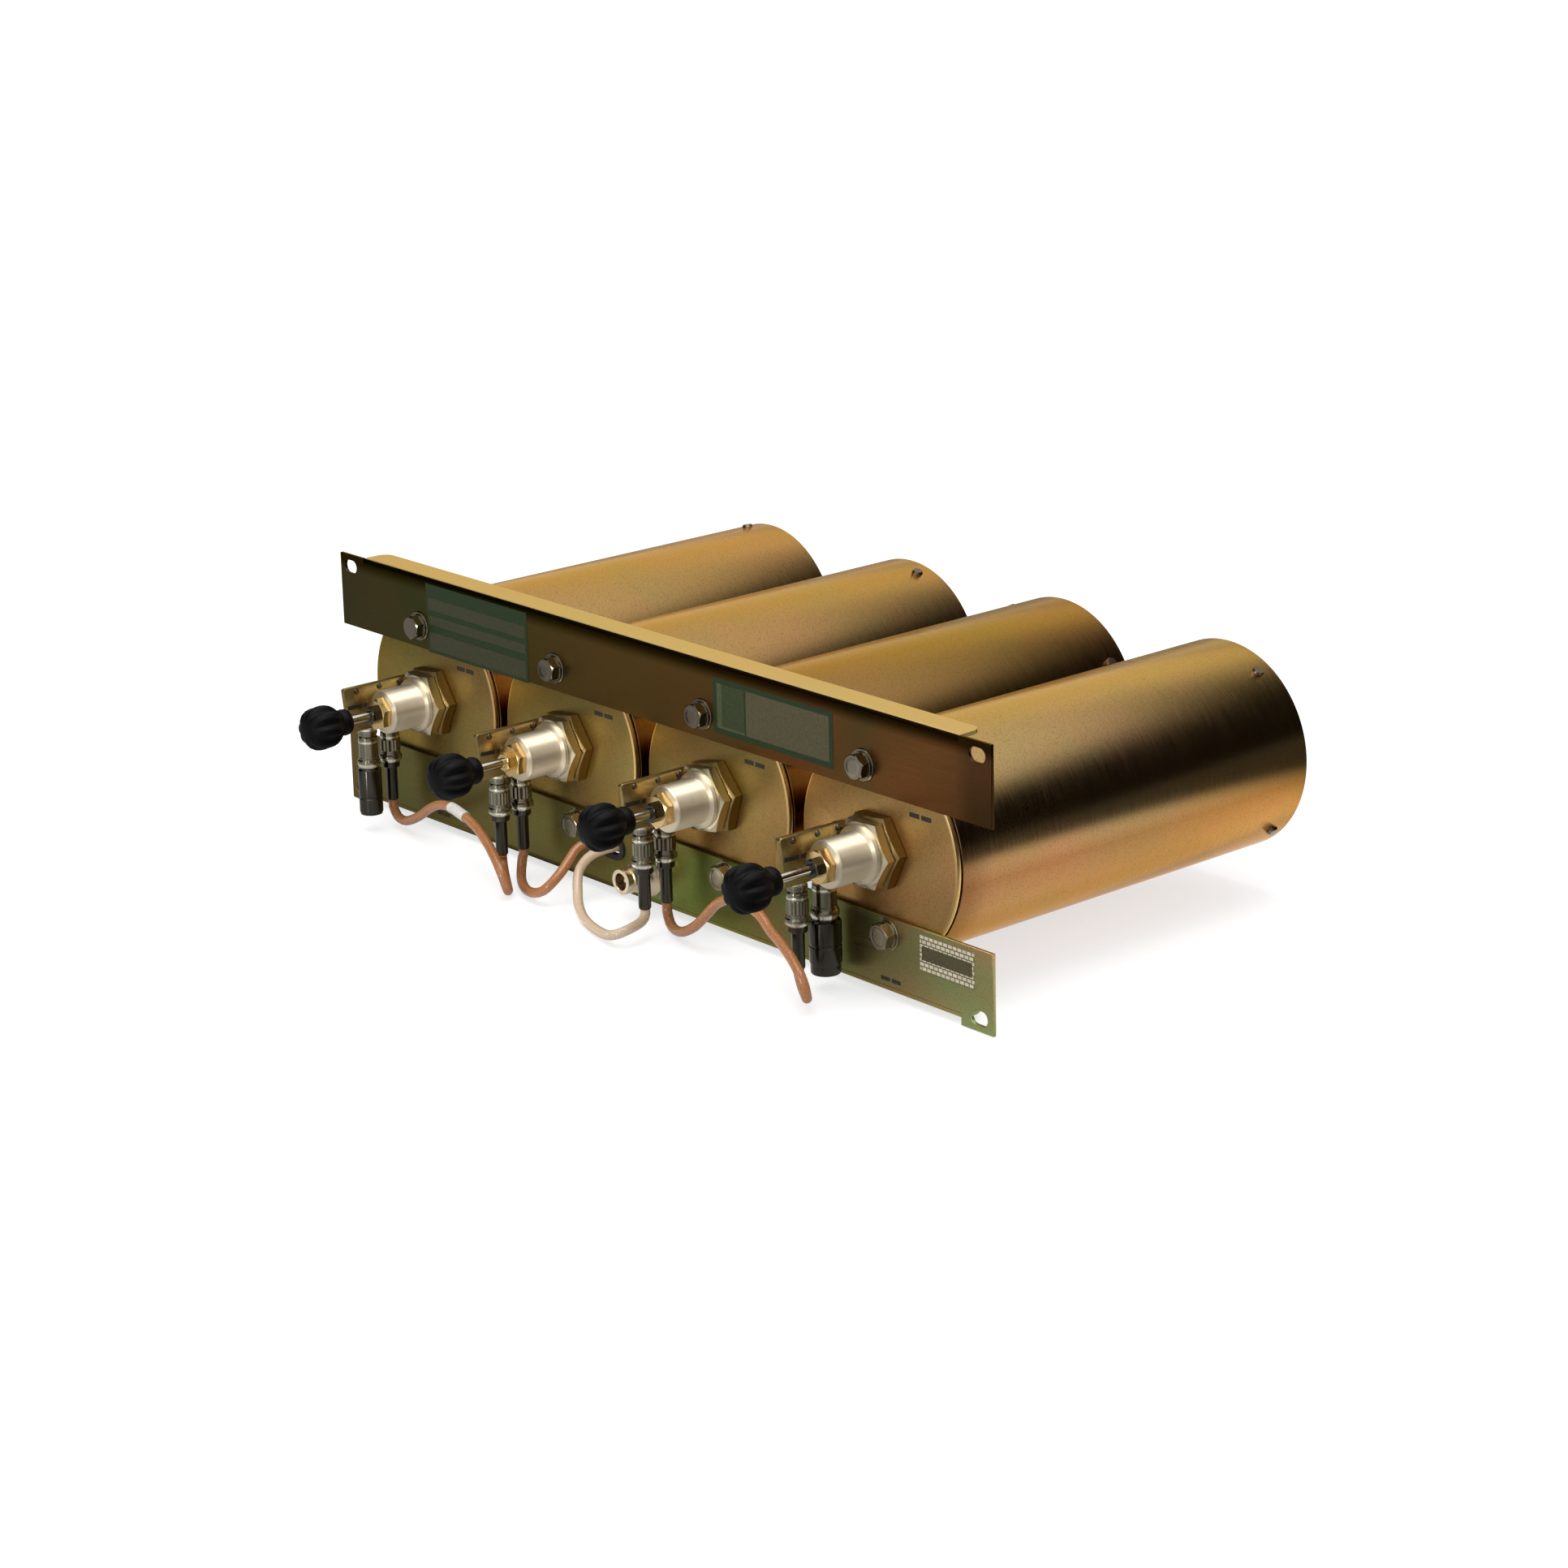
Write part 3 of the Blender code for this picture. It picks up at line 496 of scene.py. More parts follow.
# Under the bend of the upper rail a line about 4 mm wide is nearly black: a painted dark reflection of the
# room in front. Along X the face darkens and greys towards its left end, and darkens again at its right end.
toned(
    rail_dark,
    [(0.0, (0.048, 0.058, 0.032)), (0.25, (0.085, 0.075, 0.028)), (0.45, (0.135, 0.080, 0.026)),
     (0.75, (0.140, 0.074, 0.025)), (0.93, (0.150, 0.066, 0.022)), (0.955, (0.125, 0.062, 0.022)),
     (0.975, (0.070, 0.040, 0.017)), (1.0, (0.070, 0.040, 0.017))],
    z_stops=[(0.0, 0.5), (0.935, 0.5), (0.970, 0.08), (1.0, 0.08)],
)
toned(
    rail_green,
    [
        (0.0, (0.20, 0.155, 0.065)), (0.35, (0.26, 0.235, 0.080)), (0.6, (0.20, 0.255, 0.065)),
        (0.8, (0.20, 0.19, 0.070)), (0.87, (0.30, 0.30, 0.115)), (0.94, (0.46, 0.44, 0.175)),
        (1.0, (0.60, 0.50, 0.21)),
    ],
)
print("toned", [m.name for m in (plate_gold, tube_gold, rail_dark, rail_green)])

# %% [markdown]
# ## Plated metal
# Nuts, bolts, sleeves and rods are nickel, steel or brass without a film. They differ in tint and gloss only.
# A turned sleeve carries fine rings, so its highlight is drawn out along it: that is what anisotropy does.

# %% Plated metal
def plated(name, tint, low, high, stretch=EVEN, bump=0.05):
    """Plain plated metal with a little handling haze in its gloss."""
    made, _, shader, place = finish(name, Base_Color=(*tint, 1))
    brushed(shader, place, stretch, low, high, bump, 0.0001)
    return made


def ringed(shader, axis, amount):
    """Draws the highlight out along the axis that a part was turned on."""
    shader.inputs["Anisotropic"].default_value = amount
    shader.inputs["Anisotropic Rotation"].default_value = 0.25
    tangent = node(shader.id_data, "ShaderNodeTangent", direction_type="RADIAL", axis=axis)
    feed(shader, Tangent=tangent.outputs[0])


nickel = plated("bright_nickel", (0.93, 0.82, 0.62), 0.40, 0.50, (60, 900, 60), 0.02)
shader = nickel.node_tree.nodes["Principled BSDF"]
shader.inputs["Metallic"].default_value = 0.92
ringed(shader, "Y", 0.92)
mirror_nickel = plated("mirror_nickel", (0.74, 0.71, 0.62), 0.08, 0.18)
hex_nickel = plated("hex_nickel", (0.78, 0.68, 0.48), 0.16, 0.28)
# A dark copy of the nickel: on the jam nuts it is a painted dark reflection of the room.
nickel_painted_dark = plated("nickel_painted_dark", (0.07, 0.065, 0.055), 0.08, 0.20)
bolt_steel = plated("bolt_plate", (0.36, 0.31, 0.21), 0.14, 0.28)
# The upper row's bolts get a darker copy of the same plating.
bolt_darker = plated("bolt_plate_darker", (0.20, 0.17, 0.125), 0.12, 0.24)
screw_dark = plated("screw_dark", (0.16, 0.12, 0.08), 0.20, 0.36)
port_nickel = plated("port_nickel", (0.72, 0.60, 0.42), 0.20, 0.34)
yellow_brass = plated("yellow_brass", (0.80, 0.56, 0.24), 0.16, 0.28)
silvered = plated("silvered_metal", (0.80, 0.79, 0.75), 0.20, 0.32)
print("materials", len(bpy.data.materials))

# %% [markdown]
# ## Connectors, knobs and cable jackets
# The coaxial connectors are nickel with painted reflections: dark bodies for the dark room they mirror, and
# bright rings for painted highlights. All stand upright at one height, so height alone can set these bands,
# with no need for a material per ring. The knobs are black moulded plastic. The jumpers have a translucent
# jacket, and the braid below it shows as fine light and dark crossings.

# %% Connectors, knobs and jackets
TOP = 60.0
# Painted reflection bands by height: dark where the nickel mirrors the dark room, pale for painted highlights.
DEEP, DARK, PALE = (0.075, 0.070, 0.056), (0.24, 0.22, 0.16), (0.90, 0.86, 0.70)
REFLECTION_BANDS = [
    (0.0, DEEP), (33.9, DEEP), (34.3, PALE), (35.6, PALE), (36.4, DARK), (46.6, DARK), (47.0, PALE),
    (47.7, PALE), (48.2, DARK), (52.8, DARK), (53.6, PALE),
]
connector, tree, shader, place = finish("connector_nickel")
height = node(tree, "ShaderNodeSeparateXYZ", {"Vector": place}).outputs["Z"]
tone = ramp(tree, remap(tree, height, 0.0, TOP * MM), [(z / TOP, tint) for z, tint in REFLECTION_BANDS])
feed(shader, Base_Color=tone, Roughness=remap(tree, noise(tree, place, 300.0, 3.0), 0.0, 1.0, 0.15, 0.25))
ringed(shader, "Z", 0.9)

knob_black, tree, shader, place = finish(
    "knob_black", 0.0, Base_Color=(0.0020, 0.0015, 0.0015, 1), Specular_IOR_Level=0.12)
grain = noise(tree, place, 900.0, 3.0)
feed(shader, Normal=bumps(tree, grain, 0.15), Roughness=remap(tree, grain, 0.0, 1.0, 0.42, 0.62))


def jacket(name, tint, weave, gap):
    """A translucent cable jacket: the braid below shows as fine light and dark crossings."""
    made, tree, shader, place = finish(name, 0.0, Roughness=0.25, Coat_Weight=0.3)
    lumps = node(tree, "ShaderNodeTexVoronoi", {"Vector": place, "Scale": 900.0}).outputs["Distance"]
    braid = math_node(tree, "MULTIPLY", remap(tree, lumps, 0.1, 0.6), 0.55)
    clouds = math_node(tree, "MULTIPLY", noise(tree, place, 60.0, 2.0), 0.8)
    tone = blend(tree, clouds, blend(tree, braid, (*weave, 1), (*gap, 1)), (*tint, 1))
    feed(shader, Base_Color=tone, Normal=bumps(tree, lumps, 0.2))
    return made


jacket_brown = jacket("jacket_brown", (0.42, 0.15, 0.045), (0.58, 0.27, 0.11), (0.26, 0.085, 0.03))
jacket_tan = jacket("jacket_tan", (0.70, 0.48, 0.30), (0.82, 0.68, 0.52), (0.50, 0.33, 0.20))
print("materials", len(bpy.data.materials))

# %% [markdown]
# ## Helpers for turned and pressed pieces
# Most pieces here came off a lathe: nuts, sleeves, plugs, tubes. A lathe shape is a half outline spun round
# its axis. The others are flat outlines pushed through a thickness, with their edges rounded by a bevel.

# %% Lathe and press
AXES = {"X": Vector((1, 0, 0)), "Y": Vector((0, 1, 0)), "Z": Vector((0, 0, 1))}


def on_axis(axis, p, t):
    """The place at t along the axis, where p is (y, z) beside X, (x, z) beside Y or (x, y) beside Z."""
    return {"X": at(t, p[0], p[1]), "Y": at(p[0], t, p[1]), "Z": at(p[0], p[1], t)}[axis]


def turned(made, profile, centre, axis="Y", steps=64, closed=False):
    """Spins (radius, distance) points round an axis, into the bmesh. Returns the new vertices."""
    before = set(made.verts)
    row = [made.verts.new(on_axis(axis, (centre[0] + radius, centre[1]), along)) for radius, along in profile]
    edges = [made.edges.new(pair) for pair in zip(row, row[1:])]
    if closed:
        edges.append(made.edges.new((row[-1], row[0])))
    bmesh.ops.spin(made, geom=row + edges, cent=on_axis(axis, centre, 0), axis=AXES[axis], angle=2 * math.pi,
                   steps=steps, use_merge=True)
    return [v for v in made.verts if v not in before]


def thickened(made, faces, move):
    """Pushes faces out by move, with walls round them. Returns the pushed points."""
    pushed = bmesh.ops.extrude_face_region(made, geom=faces, use_keep_orig=True)
    fresh = [g for g in pushed["geom"] if isinstance(g, bmesh.types.BMVert)]
    bmesh.ops.translate(made, verts=fresh, vec=move)
    return fresh


def slab(made, outline, low, high, axis="Y", bevel=0.0, segments=2):
    """A flat outline pushed along an axis from low to high, with its edges rounded by bevel."""
    face = made.faces.new([made.verts.new(on_axis(axis, p, low)) for p in outline])
    fresh = thickened(made, [face], AXES[axis] * (high - low) * MM)
    shell = {f for v in fresh for f in v.link_faces} | {face}
    bmesh.ops.recalc_face_normals(made, faces=list(shell))
    if bevel:
        edges = {e for f in shell for e in f.edges}
        sharp = [e for e in edges if len(e.link_faces) == 2 and e.calc_face_angle() > 0.5]
        bmesh.ops.bevel(made, geom=sharp, offset=bevel * MM, offset_type="OFFSET", segments=segments,
                        profile=0.5, affect="EDGES", material=-1, clamp_overlap=True)


def lathe(profile, centre, **given):
    """A new bmesh with one turned shape."""
    made = bmesh.new()
    turned(made, profile, centre, **given)
    return made


def block(outline, low, high, **given):
    """A new bmesh with one pushed shape."""
    made = bmesh.new()
    slab(made, outline, low, high, **given)
    return made


def arc(centre, radius, angles):
    return [(centre[0] + radius * math.cos(a), centre[1] + radius * math.sin(a)) for a in angles]


def hexagon(centre, radius, turn):
    return arc(centre, radius, [math.radians(turn + 60 * k) for k in range(6)])


def ring(centre, radius, steps=48):
    return arc(centre, radius, [2 * math.pi * k / steps for k in range(steps)])


print("a hexagon starts at", hexagon((0, 0), 10, 0)[0])

# %% [markdown]
# ## From a mesh to a piece of the model
# A real part is one solid, so the doubled points are merged and all faces turned outwards. Soft shading with
# sharp edges above an angle makes turned parts look round and milled edges look crisp. A drilled or chamfered
# part is made as the shop makes it, by cutting one shape with another: that is a Boolean.

# %% Keep and carve
def cleaned(name, made):
    """Turns a bmesh into a mesh with no doubled points and with its faces turned outwards."""
    bmesh.ops.remove_doubles(made, verts=made.verts, dist=1e-7)
    bmesh.ops.recalc_face_normals(made, faces=made.faces)
    return to_mesh(name, made)


def keep(name, made, material, body="frame", replaces=(), smooth=35.0):
    """Turns a finished bmesh into a piece that rides on a body and takes over from its plain solids."""
    mesh = cleaned(name, made)
    mesh.shade_smooth()
    mesh.set_sharp_from_angle(angle=math.radians(smooth))
    mesh.materials.append(material)
    piece = put(name, mesh)
    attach(piece, body)
    if replaces:
        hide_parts(*([replaces] if isinstance(replaces, str) else replaces))
    return piece


def carved(piece, cutter, operation="DIFFERENCE"):
    """Applies one Boolean to a shape before it is kept. Both are bmeshes, and the result is a new one."""
    things = [put(name, cleaned(name, made)) for name, made in (("carved", piece), ("cutter", cutter))]
    change = things[0].modifiers.new("carve", "BOOLEAN")
    change.operation, change.solver, change.object = operation, "EXACT", things[1]
    graph = bpy.context.evaluated_depsgraph_get()
    graph.update()
    result = bmesh.new()
    result.from_mesh(things[0].evaluated_get(graph).data)
    for thing in things:
        mesh = thing.data
        bpy.data.objects.remove(thing, do_unlink=True)
        bpy.data.meshes.remove(mesh)
    bmesh.ops.dissolve_degenerate(result, edges=result.edges, dist=1e-7)
    return result


def wire(name, places, radius, resolution, material):
    """A round wire through these places."""
    curve = bpy.data.curves.new(name, "CURVE")
    curve.dimensions, curve.bevel_depth, curve.bevel_resolution = "3D", radius * MM, resolution
    curve.use_fill_caps = True
    line = curve.splines.new("POLY")
    line.points.add(len(places) - 1)
    for point, place in zip(line.points, places):
        point.co = (*at(*place), 1.0)
    line.use_smooth = True
    curve.materials.append(material)
    piece = put(name, curve)
    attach(piece, "frame")
    return piece


# %% [markdown]
# ## The jumpers
# Each jumper is stiff coaxial cable that keeps the bend it was given. It is one smooth curve with round
# section, along the same points as the plain model. The outer two run from plug to plug, and the two in the
# middle run between a plug and the antenna tee.

# %% Jumper routes
CABLE_R = 2.4
ROUTES = {
    "cable_a": [
        (-188.7, -11.4, 13.2), (-188.3, -11.6, 9.6), (-183.0, -12.8, 5.6), (-173.7, -14.2, 5.6),
        (-159.2, -16.5, 11.8), (-145.4, -19.0, 19.9), (-132.9, -21.5, 25.2), (-120.1, -24.0, 27.3),
        (-111.3, -26.0, 27.4), (-98.9, -29.0, 27.0), (-85.3, -33.0, 25.6), (-70.6, -38.0, 22.2),
        (-58.1, -42.5, 17.4), (-52.6, -43.4, 11.4), (-52.6, -41.4, 5.6), (-57.0, -37.6, 2.9),
        (-65.5, -32.2, 3.2), (-73.5, -27.6, 6.6), (-77.4, -25.4, 10.6), (-77.6, -25.2, 13.2),
    ],
    "cable_b": [
        (-77.6, -12.0, 13.2), (-77.4, -13.0, 9.0), (-71.0, -19.0, 4.0), (-61.0, -26.0, 2.9),
        (-50.0, -31.5, 3.2), (-40.0, -34.4, 4.9), (-33.3, -34.4, 7.6), (-30.2, -31.8, 11.2),
        (-29.7, -26.5, 15.3), (-30.8, -20.5, 19.6), (-31.9, -14.5, 24.1), (-31.2, -9.0, 26.0),
        (-28.5, -3.8, 26.0), (-25.0, 0.9, 24.2), (-24.2, 5.5, 22.8), (-20.5, 9.6, 19.8), (-13.5, 11.0, 18.6),
        (-6.6, 11.0, 18.6),
    ],
    "cable_c": [
        (-6.6, 18.5, 19.8), (-11.5, 18.2, 21.6), (-15.6, 15.0, 24.2), (-18.0, 9.0, 25.6), (-18.7, 2.0, 25.4),
        (-20.2, -4.0, 25.0), (-23.0, -8.6, 23.6), (-25.6, -12.4, 20.8), (-26.9, -16.5, 16.3),
        (-24.5, -20.0, 12.3), (-20.3, -23.5, 8.4), (-13.7, -28.4, 4.8), (-4.6, -33.6, 3.0), (5.4, -38.4, 2.8),
        (17.3, -42.2, 2.9), (28.3, -45.0, 3.9), (35.3, -45.5, 5.7), (38.3, -42.5, 7.2), (38.0, -37.0, 7.8),
        (36.2, -31.0, 8.0), (34.2, -26.6, 9.0), (33.6, -25.4, 13.1),
    ],
    "cable_d": [
        (33.6, -12.2, 13.2), (34.0, -12.5, 8.6), (38.2, -14.4, 4.6), (45.1, -17.0, 3.5), (55.1, -20.0, 5.9),
        (65.7, -21.5, 11.8), (74.0, -21.5, 19.4), (82.1, -22.0, 26.7), (92.2, -23.5, 31.8),
        (104.9, -25.5, 34.1), (120.1, -28.5, 32.8), (130.6, -31.5, 29.1), (143.7, -35.5, 26.1),
        (155.7, -40.0, 23.1), (163.9, -43.0, 19.2), (166.7, -43.0, 13.9), (164.4, -40.0, 8.3),
        (158.4, -35.0, 5.6), (150.8, -30.4, 6.6), (145.2, -27.5, 10.2), (144.7, -27.2, 13.2),
    ],
}
DOWN, UP, TO_LEFT, TO_RIGHT = (0, 0, -1), (0, 0, 1), (-1, 0, 0), (1, 0, 0)
# The way each jumper sets out from its first point and arrives at its last.
ENDS = {"cable_a": (DOWN, UP), "cable_b": (DOWN, TO_RIGHT), "cable_c": (TO_LEFT, UP), "cable_d": (DOWN, UP)}
print("route points", {name: len(path) for name, path in ROUTES.items()})


# %% Jumpers
def smooth_route(path, first, last, step=3.0):
    """Evenly spaced points on a smooth curve through a route's points, straight for a little at each end."""
    points = [Vector(p) for p in path]
    points.insert(1, points[0] + Vector(first) * CABLE_R)
    points.insert(-1, points[-1] - Vector(last) * CABLE_R)
    fine = [points[0]]
    for i in range(1, len(points) - 2):
        p0, p1, p2, p3 = points[i - 1 : i + 3]
        square = 2 * p0 - 5 * p1 + 4 * p2 - p3
        cube = 3 * p1 - p0 - 3 * p2 + p3
        many = max(1, round((p2 - p1).length / step))
        for t in (k / many for k in range(many)):
            fine.append(0.5 * (2 * p1 + (p2 - p0) * t + square * t * t + cube * t ** 3))
    return fine + points[-2:]


cables = {}
for name, path in ROUTES.items():
    fine = smooth_route(path, *ENDS[name])
    piece = wire(name + "_jacket", fine, CABLE_R, 6, jacket_tan if name == "cable_c" else jacket_brown)
    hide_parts(name)
    long = sum((b - a).length for a, b in zip(fine, fine[1:])) * MM
    cables[name] = (piece, fine, long)
    print(name, "length", round(long * 1000, 1), "mm")

# %% [markdown]
# ## Resonator tubes
# A tube is drawn sheet, so it is only a ring spun round its axis, with a rolled edge at the back. Its
# brushing runs round it. The end plate is let in and held by radial screws whose heads just break the
# outline.

# %% Tubes and end plates
TUBE_R = 50.8
TUBE = [
    (TUBE_R, 5.8), (TUBE_R, 228.9), (50.6, 229.3), (50.2, 229.5), (49.4, 229.5), (49.2, 229.2), (49.2, 5.8),
    (49.4, 5.6), (50.6, 5.6),
]
END_PLATE = [
    (0, 216.0), (48.9, 216.0), (48.9, 224.0), (48.6, 224.7), (48.0, 225.0), (12.0, 225.0), (11.5, 224.6),
    (0, 224.6),
]
# The angles of each tube's screws, in degrees.
SCREWS = ((100, 190, 280, 10), (73, 163, 253, -17), (33, 123, 213, 303), (57, -42, 147, 228))


def screw_head(made, wide, narrow, depth, matrix):
    """A low cone with a flat top, its foot wide and its top narrow, moved into place by a matrix."""
    head = bmesh.ops.create_cone(made, cap_ends=True, segments=20, radius1=wide * MM, radius2=narrow * MM,
                                 depth=depth * MM)
    bmesh.ops.transform(made, matrix=matrix, verts=head["verts"])


for n, (x, angles) in enumerate(zip(CENTRES, SCREWS), 1):
    centre = (x, AXIS_Z)
    made = lathe(TUBE, centre, steps=192, closed=True)
    keep(f"resonator_tube_{n}", made, tube_gold, replaces=f"cavity_shell_{n}")
    made = lathe(END_PLATE, centre, steps=128)
    keep(f"end_plate_{n}", made, tube_gold, replaces=f"rear_cap_{n}")
    made = bmesh.new()
    for angle in map(math.radians, angles):
        outward = Vector((math.cos(angle), 0, math.sin(angle))).to_track_quat("Z", "Y").to_matrix().to_4x4()
        place = Matrix.Translation(at(x + 51.3 * math.cos(angle), 220.0, AXIS_Z + 51.3 * math.sin(angle)))
        screw_head(made, 2.9, 2.3, 1.2, place @ outward)
    keep(f"end_screws_{n}", made, screw_dark, smooth=30)
print("tubes", len(CENTRES))

# %% [markdown]
# ## Front plates
# The front plate is a turned disc that closes the tube, drilled for the loop's tube. The faces near its
# chamfered rim get a brighter finish of their own.

# %% Front plates
LOOP_X = 26.5  # the loop's tube stands this far left of the axis
FRONT_PLATE = [(9.3, 2.1), (49.6, 2.1), (50.5, 2.5), (TUBE_R, 3.2), (TUBE_R, 4.2), (50.6, 4.6), (48.9, 4.6),
               (48.9, 8.0), (9.3, 8.0)]
for n, x in enumerate(CENTRES, 1):
    made = lathe(FRONT_PLATE, (x, AXIS_Z), steps=160, closed=True)
    made = carved(made, block(ring((x - LOOP_X, AXIS_Z), 6.7), 0.5, 9.5))
    plate = keep(f"front_plate_face_{n}", made, plate_gold, replaces=f"front_plate_{n}")
    plate.data.materials.append(rim_gold)
    for face in plate.data.polygons:
        middle = sum((plate.data.vertices[v].co for v in face.vertices), Vector()) / len(face.vertices) / MM
        if math.hypot(middle.x - x, middle.z - AXIS_Z) > 49.7:
            face.material_index = 1
print("front plates", len(CENTRES))

# %% [markdown]
# ## Rack rails
# Each rail is one bent sheet: upright face, flange and two ears. The upright face is filled between an outer
# loop and the slot loops, then given the sheet's thickness. A bevel modifier wears its edges a little.

# %% Rail faces
SHEET = 1.8
BEND = 3.0  # outer radius
WIDE, INNER = 241.3, 221.0  # half widths, with the ears and between them
PORT, CABLE_HOLE = (9.0, 19.0), (-21.7, 24.6)  # (x, z) in the lower rail
# Bottom, top, height of the flange's outer side, the way from it into the rail, height of the rack slots,
# and the materials of face and flange.
RAILS = {
    "upper_rail": (94.5, 132.6, 132.6, -1, 126.25, rail_dark, flange_gold),
    "lower_rail": (0.0, 38.1, 2.5, 1, 6.35, rail_green, rail_green),
}


def sheet_with_holes(made, outer, holes, low, high):
    """Fills between loops of (x, z) points in the plane y = low and gives the sheet its thickness."""
    edges = []
    for loop in [outer] + holes:
        row = [made.verts.new(at(p[0], low, p[1])) for p in loop]
        edges += [made.edges.new(pair) for pair in zip(row, row[1:] + row[:1])]
    filled = bmesh.ops.triangle_fill(made, use_beauty=True, use_dissolve=False, edges=edges, normal=(0, -1, 0))
    faces = [g for g in filled["geom"] if isinstance(g, bmesh.types.BMFace)]
    thickened(made, faces, (0, (high - low) * MM, 0))


def obround(centre, wide, tall, steps=16):
    """A long hole with round ends."""
    r = tall / 2
    points = []
    for side, start in ((1, 0), (-1, math.pi)):
        angles = [math.radians(-90 + 180 * k / steps) + start for k in range(steps + 1)]
        points += arc((centre[0] + side * (wide / 2 - r), centre[1]), r, angles)
    return points


for name, (low, high, edge, inward, slot_z, material, _) in RAILS.items():
    bend_z = edge + inward * BEND
    holes = [obround((side * 232.55, slot_z), 10.3, 6.8) for side in (-1, 1)]
    if name == "lower_rail":
        outer = [(-WIDE, low), (-INNER, low), (-INNER, bend_z), (INNER, bend_z), (INNER, low), (WIDE, low),
                 (WIDE, high), (-WIDE, high)]
        holes += [obround(CABLE_HOLE, 15.4, 9.4), ring(PORT, 5.0, 32)]
    else:
        outer = [(-WIDE, low), (WIDE, low), (WIDE, high), (INNER, high), (INNER, bend_z), (-INNER, bend_z),
                 (-INNER, high), (-WIDE, high)]
    made = bmesh.new()
    sheet_with_holes(made, outer, holes, 0.0, SHEET)
    face = keep(name + "_face", made, material, replaces=name)
    soft = face.modifiers.new("worn_edge", "BEVEL")
    soft.width, soft.segments, soft.limit_method, soft.angle_limit = 0.25 * MM, 2, "ANGLE", math.radians(40)
    print(name, "holes", len(holes))

# %% [markdown]
# ## Flanges
# A press brake folds the sheet, so the bend has one radius outside and a smaller one inside. The flange is
# that bend's own profile pushed along the rail, with its back corners cut round. The front of the bend takes
# the face's material, and on the upper rail that is the painted dark reflection line.

# %% Rail flanges
def bent(radius, edge, inward, degrees):
    """(y, z) points of the bend at this radius, from the face at 0 degrees to the flange at 90."""
    angles = [math.radians(a) for a in degrees]
    return [(BEND - radius * math.cos(a), edge + inward * (BEND - radius * math.sin(a))) for a in angles]


for name, (_, _, edge, inward, _, material, flange_material) in RAILS.items():
    profile = bent(BEND, edge, inward, range(0, 91, 10))
    profile += [(15.0, edge), (15.0, edge + inward * SHEET)]
    profile += bent(BEND - SHEET, edge, inward, range(90, -1, -15))
    made = block(profile, -INNER, INNER, axis="X")
    for side in (-1, 1):
        corner = [(side * (INNER + 2), 17.0), (side * (INNER + 2), 9.0)]
        for a in map(math.radians, range(0, 91, 9)):
            corner.append((side * (INNER - 6 + 6 * math.cos(a)), 9.0 + 6 * math.sin(a)))
        corner.append((side * (INNER - 6.0), 17.0))
        made = carved(made, block(corner, edge - 4, edge + 4, axis="Z"))
    flange = keep(name + "_flange", made, flange_material)
    # The front of the bend gets the face's material: on the upper rail, the painted dark reflection under the
    # bend.
    flange.data.materials.append(material)
    for part in flange.data.polygons:
        if part.center.y / MM - BACK < 1.4:
            part.material_index = 1
print("flanges", len(RAILS))

# %% [markdown]
# ## Rubber grommet
# Two jumpers pass through the long hole in the lower rail. A rubber ring keeps the sheet's edge off their
# jackets. It is two flat rings with the same hole: a wide lip before the sheet and a neck through it.

# %% Grommet
grommet_rubber, tree, shader, place = finish("grommet_rubber", 0.0, Base_Color=(0.012, 0.011, 0.010, 1))
feed(shader, Roughness=remap(tree, noise(tree, place, 500.0, 3.0), 0.0, 1.0, 0.5, 0.8))
inside = obround(CABLE_HOLE, 12.6, 6.6)
made = bmesh.new()
sheet_with_holes(made, obround(CABLE_HOLE, 18.2, 12.2), [inside], -0.9, -0.05)
sheet_with_holes(made, obround(CABLE_HOLE, 15.2, 9.2), [inside], -0.05, 1.85)
keep("rail_grommet", made, grommet_rubber)
print("grommet in the hole at", CABLE_HOLE)

# %% [markdown]
# ## Bolts
# Each front plate hangs on two cap bolts. A real one has a flat washer, a split lock washer and a head with a
# turned, slightly domed face between its six flats. The chamfer comes from cutting the hexagon with a turned
# shape.

# %% Rail bolts
FLAT_WASHER = [(3.0, 0.1), (7.6, 0.1), (7.6, -0.5), (7.3, -0.8), (3.0, -0.8)]
LOCK_WASHER = [(3.0, -0.8), (6.3, -0.8), (6.4, -1.0), (6.4, -1.4), (6.2, -1.6), (3.0, -1.6)]


def chamfered_hex(centre, radius, turn, back, front, depth=0.8):
    """A hexagonal head or nut between back and front, its front corners taken off by a turned cone."""
    flat = radius * math.cos(math.radians(30))
    cone = [(0, front - 0.5), (flat * 0.97, front - 0.5), (flat * 0.97, front), (flat, front + 0.15),
            (radius + 0.05, front + depth), (radius + 0.05, back + 1), (0, back + 1)]
    head = block(hexagon(centre, radius, turn), front, back)
    return carved(head, lathe(cone, centre, steps=72), "INTERSECT")


# Name, place beside the tube's axis, height, turn in degrees and material.
ROWS = (("upper", -7.2, 105.8, 20, bolt_darker), ("lower", 7.2, 30.2, 12, bolt_steel))
for level, side, z, turn, material in ROWS:
    for n, x in enumerate(CENTRES, 1):
        centre = (x + side, z)
        made = chamfered_hex(centre, 6.5, turn, -1.4, -5.9)
        turned(made, [(0, -5.85), (2.6, -6.15), (4.6, -5.95)], centre, steps=32)
        turned(made, FLAT_WASHER, centre, steps=48, closed=True)
        turned(made, LOCK_WASHER, centre, steps=48, closed=True)
        keep(f"rail_bolt_{level}_{n}", made, material, smooth=30)
print("bolts", 2 * len(CENTRES))

# %% [markdown]
# ## Tuners
# From the plate forwards: a gold hex lock nut, the nickel sleeve with its own hex and a rounded collar, a
# brass bush nut, and a small jam nut that grips the rod. Nobody lines up such nuts, so each tuner's hexagons
# have their own turn.

